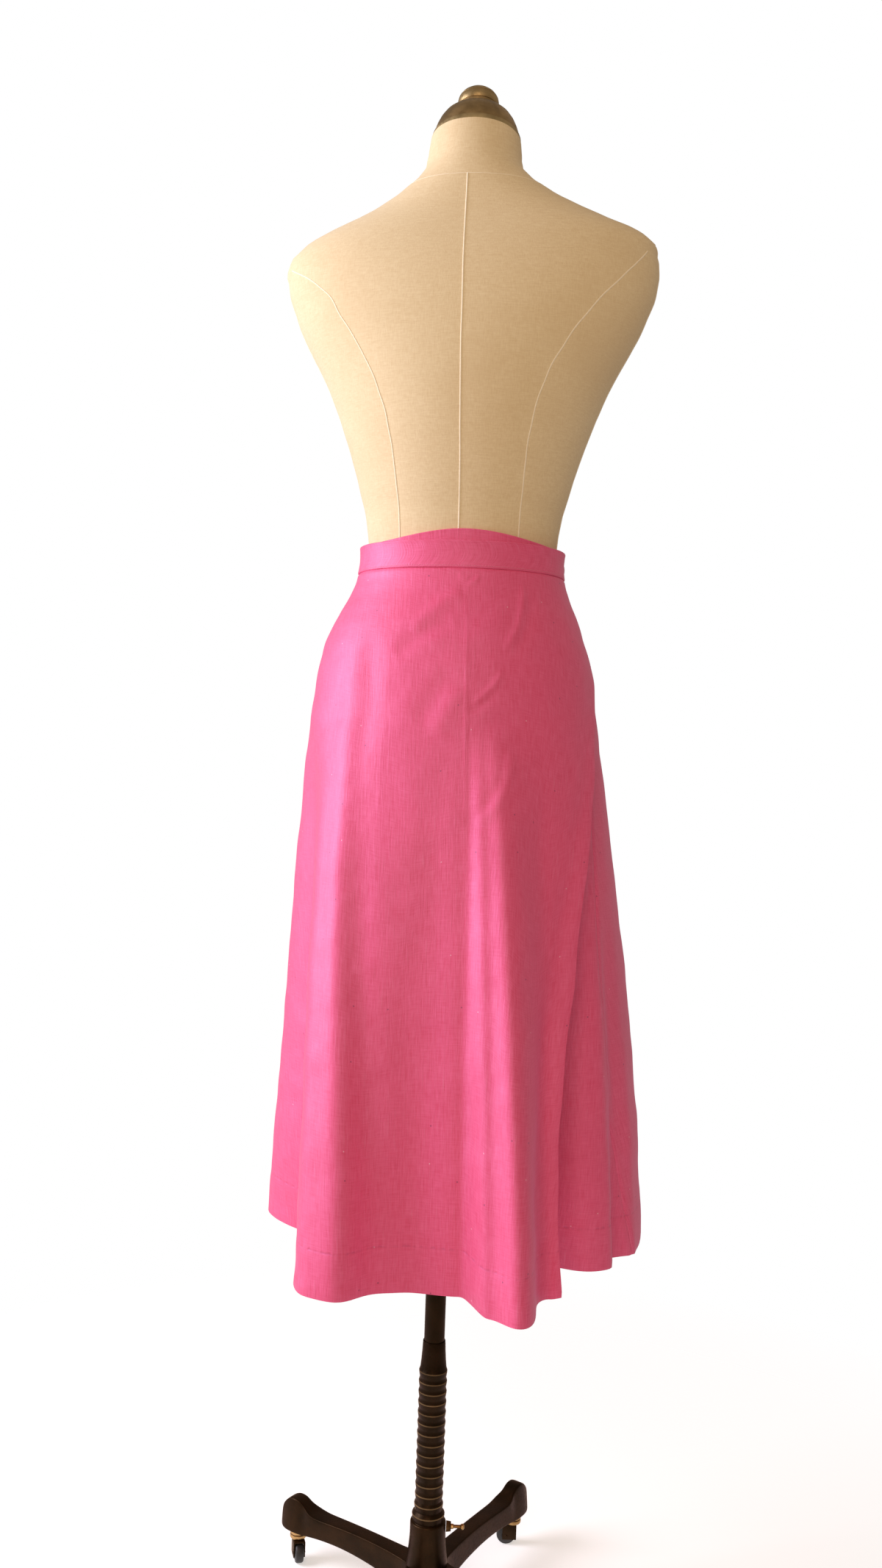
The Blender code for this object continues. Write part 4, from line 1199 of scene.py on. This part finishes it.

# The turn-up is sewn blind at its top: a dimpled line at one height over the hem, darkened with painted
# shade.
fallen = node(linen_tree, "SeparateXYZ", {0: thread_map}).outputs["Y"]
dimple = yarn(HEM_DIMPLE, 0.50, 1.0)
wander = {0: dimple, 1: HEM_LINE_WANDER, 2: HEM_DEPTH - 0.5 * HEM_LINE_WANDER}
wander = node(linen_tree, "Math", wander, operation="MULTIPLY_ADD").outputs[0]
away = node(linen_tree, "Math", {0: fallen, 1: wander}, operation="SUBTRACT").outputs[0]
away = node(linen_tree, "Math", {0: away}, operation="ABSOLUTE").outputs[0]
close = {"Value": away, "From Min": HEM_LINE_END, "From Max": HEM_LINE_HALF}
sewn = node(linen_tree, "MapRange", close).outputs[0]
caught = node(linen_tree, "MapRange", {"Value": dimple, "From Min": 0.40, "From Max": 0.60}).outputs[0]
sewn = node(linen_tree, "Math", {0: sewn, 1: caught}, operation="MULTIPLY").outputs[0]
# Painted shade darkens the cloth along the dimpled stitch line.
shade = node(linen_tree, "Math", {0: sewn, 1: 0.30}, operation="MULTIPLY").outputs[0]
layers = {0: shade, 6: dyed, 7: linear("#b83a60")}
dyed = node(linen_tree, "Mix", layers, data_type="RGBA").outputs[2]
linen_tree.links.new(dyed, linen_shader.inputs["Base Color"])
pile = node(linen_tree, "Math", {0: slub, 1: 0.8, 2: weave}, operation="MULTIPLY_ADD").outputs[0]
pile = node(linen_tree, "Math", {0: sewn, 1: -0.8, 2: pile}, operation="MULTIPLY_ADD").outputs[0]
linen_bump = node(linen_tree, "Bump", {"Height": pile, "Strength": 0.70, "Distance": LINEN_DEPTH})
linen_tree.links.new(linen_bump.outputs[0], linen_shader.inputs["Normal"])

PANELS = [
    # name, node, start and end column of EDGES, wrap angle of the grain, columns, rows
    ("linen_under_flap", "under_flap", 1, 2, 281.0, 110, 150),
    ("linen_front", "front_panel", 2, 3, 450.0, 190, 150),
    ("linen_over_flap", "over_flap", 3, 4, 640.5, 240, 170),
]
for name, stood_for, start_column, end_column, grain, columns, rows in PANELS:
    piece = panel(start_column, end_column, grain, columns, rows)
    finished(piece, name, LINEN, "form", "linen", stood_for, smooth=60.0)

# ---- the waistband -------------------------------------------------------------------------------
# One straight strip, folded double and topstitched just above the seam. It buttons over itself at
# the right, and its inner turn rides a little higher than the outer one.

BAND_HEIGHT = 0.028
BAND_CLOTH = 0.0022
BAND_PROUD = 0.0005
BAND_EDGE = 0.0009
BAND_COLUMNS = 360
BAND_ROWS = 14
BAND_BROAD_WAVES = (0.030, 0.0005)
BAND_FINE_WAVES = (0.012, 0.0002)
UNDER_TUCK = 0.22
# The folded top edge rolls out by this much, over this width.
ROLL_RISE = 0.00045
ROLL_WIDTH = 0.0016
STITCH_RISE = 0.0021
STITCH_LENGTH = 0.0021
STITCH_PITCH = 0.0028
STITCH_RADIUS = 0.00026
STITCH_PROUD = 0.00006
STITCH_GROOVE = 0.00030
GROOVE_WIDTH = 0.0011


def band_place(along, up):
    """Points of the waistband, with a groove where it is topstitched and a slight waviness."""
    wrap = BAND_START + (BAND_END - BAND_START) * along
    height = seam_height(wrap) + 0.5 * GAP + BAND_HEIGHT * up
    points = skirt_points(wrap, height, BAND_PROUD)
    rise = BAND_HEIGHT * up
    relief = -STITCH_GROOVE * np.exp(-((rise - STITCH_RISE) / GROOVE_WIDTH) ** 2)
    relief += ROLL_RISE * np.exp(-((BAND_HEIGHT - rise) / ROLL_WIDTH) ** 2)
    relief -= UNDER_TUCK * (seam_height(wrap) - SEAM_Z)
    relief += uneven(points, *BAND_BROAD_WAVES) + uneven(points, *BAND_FINE_WAVES)
    return wrap, points + outward_of(points) * relief[..., None]


band, band_points = cloth_grid(BAND_COLUMNS, BAND_ROWS, band_place, BAND_START)
corners = {"limit_method": "ANGLE", "angle_limit": math.radians(60)}
shaped(
    band,
    ("SOLIDIFY", {"thickness": BAND_CLOTH, "offset": -1.0, "use_even_offset": True}),
    ("BEVEL", {"width": BAND_EDGE, "segments": 2, **corners}),
)
finished(band, "linen_waistband", LINEN, "form", "linen", "waistband", smooth=50.0)


def repeated(pattern, places):
    """One mesh of many copies of a small piece, each put where its matrix says."""
    shape = np.array([vertex.co for vertex in pattern.data.vertices])
    faces = [list(face.vertices) for face in pattern.data.polygons]
    points = [shape @ np.array(m.to_3x3()).T + np.array(m.translation) for m in places]
    firsts = [len(shape) * i for i in range(len(places))]
    made = bpy.data.meshes.new("repeated")
    corners = [[first + corner for corner in face] for first in firsts for face in faces]
    made.from_pydata(np.concatenate(points), [], corners)
    bpy.data.objects.remove(pattern)
    return put("repeated", made)


def one_stitch(length, radius):
    """A sewn stitch along X: a short thread whose ends dive into the cloth."""
    deselect()
    bpy.ops.mesh.primitive_cylinder_add(
        vertices=6, radius=radius, depth=length, end_fill_type="NGON", rotation=(0.0, math.pi / 2, 0.0),
    )
    stitch = bpy.context.object
    bpy.ops.object.transform_apply(rotation=True)
    bpy.ops.object.mode_set(mode="EDIT")
    bpy.ops.mesh.select_all(action="SELECT")
    bpy.ops.mesh.bevel(offset=0.6 * radius, segments=1, affect="EDGES")
    bpy.ops.object.mode_set(mode="OBJECT")
    return stitch


def framed(point, along, outward):
    """A matrix at a point whose X runs along the cloth and whose Z points out of it."""
    x = Vector(along).normalized()
    z = Vector(outward)
    z = (z - x * z.dot(x)).normalized()
    y = z.cross(x)
    return Matrix.Translation(Vector(point)) @ Matrix((x, y, z)).transposed().to_4x4()


# Mercerised cotton thread: a shade paler than the cloth and a little glossier.
THREAD = clouded(
    "pink_sewing_thread", "#d9648b", "#f49fc0", 900.0, 2.0, Roughness=0.55, IOR=1.53, Sheen_Weight=0.2,
)

stitch_row = band_points[1] + 0.0
run = np.concatenate([[0.0], np.cumsum(np.linalg.norm(np.diff(stitch_row, axis=0), axis=1))])
stitch_at = np.arange(0.5 * STITCH_PITCH, run[-1], STITCH_PITCH)
centres = np.stack([np.interp(stitch_at, run, stitch_row[:, i]) for i in range(3)], axis=-1)
runs = np.gradient(centres, axis=0)
outs = np.stack([runs[:, 1], -runs[:, 0], 0.0 * runs[:, 0]], axis=-1)
outs /= np.linalg.norm(outs, axis=-1, keepdims=True)
places = [framed(c + STITCH_PROUD * o, r, o) for c, r, o in zip(centres, runs, outs)]
topstitch = repeated(one_stitch(STITCH_LENGTH, STITCH_RADIUS), places)
finished(topstitch, "band_topstitching", THREAD, "form", "linen")

# A dyed shell button to match the cloth: smooth, faintly pearly.
SHELL = clouded(
    "dyed_shell_button", "#c8557c", "#eb9dbb", 220.0, 3.0,
    Roughness=0.28, IOR=1.55, Coat_Weight=0.3, Coat_Roughness=0.15,
)

BUTTON_TURN = 738.0
BUTTON_RADIUS = 0.0090
BUTTON_HALF = 0.00175
HOLE_RADIUS = 0.00075
HOLE_REACH = 0.0019
DRILL_LENGTH = 0.008
# The thread's two strands cross: each is bowed up from this height, and one lies on the other.
STRAND_RADIUS = 0.00038
STRAND_HEIGHT = 0.0010
STRAND_BOW = 0.0005
STRAND_POINTS = 9
STRANDS = [
    # lift, angle
    (0.0, 0.25 * math.pi),
    (0.0004, 0.75 * math.pi),
]

button_wraps = np.array([[BUTTON_TURN - 1.0, BUTTON_TURN + 1.0]])
button_height = np.full_like(button_wraps, SEAM_Z + 0.5 * BAND_HEIGHT)
before, after = skirt_points(button_wraps, button_height, BAND_PROUD)[0]
button_along = (after - before) / np.linalg.norm(after - before)
button_out = np.array([button_along[1], -button_along[0], 0.0])
button_at = 0.5 * (before + after) + button_out * (BUTTON_HALF + 2.0 * GAP)
button_frame = framed(button_at, button_along, button_out)
button_profile = [
    # radius, height: a dished face inside a raised rim, and a flat back
    (0.0, 0.00080),
    (0.0052, 0.00085),
    (0.0060, 0.00120),
    (0.0068, 0.00165),
    (0.0078, BUTTON_HALF),
    (0.0086, 0.00140),
    (BUTTON_RADIUS, 0.00060),
    (BUTTON_RADIUS, -0.00060),
    (0.0082, -0.00150),
    (0.0070, -BUTTON_HALF),
    (0.0, -BUTTON_HALF),
]
button = turned(button_profile, 40)
holes = []
for quarter in range(4):
    at = 0.25 * math.pi * (2 * quarter + 1)
    deselect()
    bpy.ops.mesh.primitive_cylinder_add(
        vertices=16, radius=HOLE_RADIUS, depth=DRILL_LENGTH,
        location=(HOLE_REACH * math.cos(at), HOLE_REACH * math.sin(at), 0.0),
    )
    holes.append(bpy.context.object)
drill = joined(holes)
shaped(button, ("BOOLEAN", {"object": drill, "operation": "DIFFERENCE", "solver": "EXACT"}))
bpy.data.objects.remove(drill)
button.data.transform(button_frame)
button.data.update()
finished(button, "shell_button", SHELL, "form", "button", "waistband_button")

crossed = []
for lift, at in STRANDS:
    arc = []
    for share in np.linspace(-1.0, 1.0, STRAND_POINTS):
        over = STRAND_HEIGHT + lift + STRAND_BOW * (1.0 - share ** 2)
        if abs(share) == 1.0:
            over = -BUTTON_HALF
        reach = HOLE_REACH * share
        arc.append(button_frame @ Vector((reach * math.cos(at), reach * math.sin(at), over)))
    crossed.append(cord_on(arc, STRAND_RADIUS))
finished(joined(crossed), "button_thread", THREAD, "form", "button", smooth=60.0)

# ---- the studio ----------------------------------------------------------------------------------
# A pale paper floor that fades into a white backdrop, a large soft light at the left, and a weak
# warm one in front. The camera stands a little to the right of the form's back, at chest height.

FLOOR_RADIUS = 7.0
FLOOR_DROP = 0.0004
FLOOR_FADE = (0.25, 1.10)
ROOM_LIGHT = 0.36
LENS_LENGTH = 32.07
CAMERA_DISTANCE = 1.54
CAMERA_HEIGHT = 0.97
CAMERA_ROUND = math.radians(5.5)
AIM_LEFT = math.radians(0.528)
AIM_DOWN = math.radians(1.40)
CAMERA_ROLL = math.radians(2.0)

deselect()
bpy.ops.mesh.primitive_circle_add(
    vertices=96, radius=FLOOR_RADIUS, fill_type="NGON", location=(0.0, 0.0, -FLOOR_DROP),
)
floor = bpy.context.object
floor.name = "paper_floor"
PAPER, paper_tree, paper_shader = surface(
    "pale_paper", Base_Color=linear("#f4f2ef"), Roughness=0.9,
    Emission_Color=linear("#ffffff"), Emission_Strength=0.44,
)
paper_place = node(paper_tree, "TexCoord").outputs["Object"]
far = node(paper_tree, "VectorMath", {0: paper_place}, operation="LENGTH").outputs["Value"]
fading = {"Value": far, "From Min": FLOOR_FADE[0], "From Max": FLOOR_FADE[1]}
fade = node(paper_tree, "MapRange", fading)
clear = node(paper_tree, "BsdfTransparent").outputs[0]
both = node(paper_tree, "MixShader", {0: fade.outputs[0], 1: paper_shader.outputs[0], 2: clear})
paper_tree.links.new(both.outputs[0], paper_tree.nodes["Material Output"].inputs["Surface"])
floor.data.materials.append(PAPER)

world = bpy.data.worlds.new("studio")
bpy.context.scene.world = world
world.use_nodes = True
sky = world.node_tree.nodes["Background"]
seen = node(world.node_tree, "LightPath").outputs["Is Camera Ray"]
strength = {"Value": seen, "To Min": ROOM_LIGHT, "To Max": 1.0}
strength = node(world.node_tree, "MapRange", strength).outputs[0]
world.node_tree.links.new(strength, sky.inputs["Strength"])
tones = {0: seen, 6: linear("#ffe9d4"), 7: linear("#ffffff")}
tinted = node(world.node_tree, "Mix", tones, data_type="RGBA").outputs[2]
world.node_tree.links.new(tinted, sky.inputs["Color"])


def soft_light(name, place, target, size, power, colour):
    """A large rectangular light at a place, facing a target."""
    data = bpy.data.lights.new(name, "AREA")
    data.shape = "RECTANGLE"
    data.size, data.size_y = size
    data.energy = power
    data.color = linear(colour)[:3]
    made = put(name, data)
    made.location = place
    made.rotation_mode = "QUATERNION"
    made.rotation_quaternion = (Vector(target) - Vector(place)).to_track_quat("-Z", "Y")


soft_light("window_left", (-2.3, -0.40, 1.6), (0.0, 0.0, 1.0), (1.4, 1.8), 78.0, "#f0eeff")
soft_light("fill_front", (-0.1, -2.6, 1.9), (0.0, 0.0, 1.1), (1.4, 1.8), 22.0, "#ffe0c4")

lens = bpy.data.cameras.new("camera")
lens.sensor_width = 36.0
lens.lens = LENS_LENGTH
lens.clip_start = 0.05
lens.clip_end = 50.0
camera = put("camera", lens)
stand_back = Vector((math.sin(CAMERA_ROUND), -math.cos(CAMERA_ROUND), 0.0)) * CAMERA_DISTANCE
camera_place = AXIS + stand_back + Vector((0.0, 0.0, CAMERA_HEIGHT))
turn = Matrix.Rotation(CAMERA_ROUND + AIM_LEFT, 4, "Z")
tip = Matrix.Rotation(0.5 * math.pi - AIM_DOWN, 4, "X")
roll = Matrix.Rotation(CAMERA_ROLL, 4, "Z")
camera.matrix_world = Matrix.Translation(camera_place) @ turn @ tip @ roll
bpy.context.scene.camera = camera
bpy.context.scene.view_settings.view_transform = "Standard"
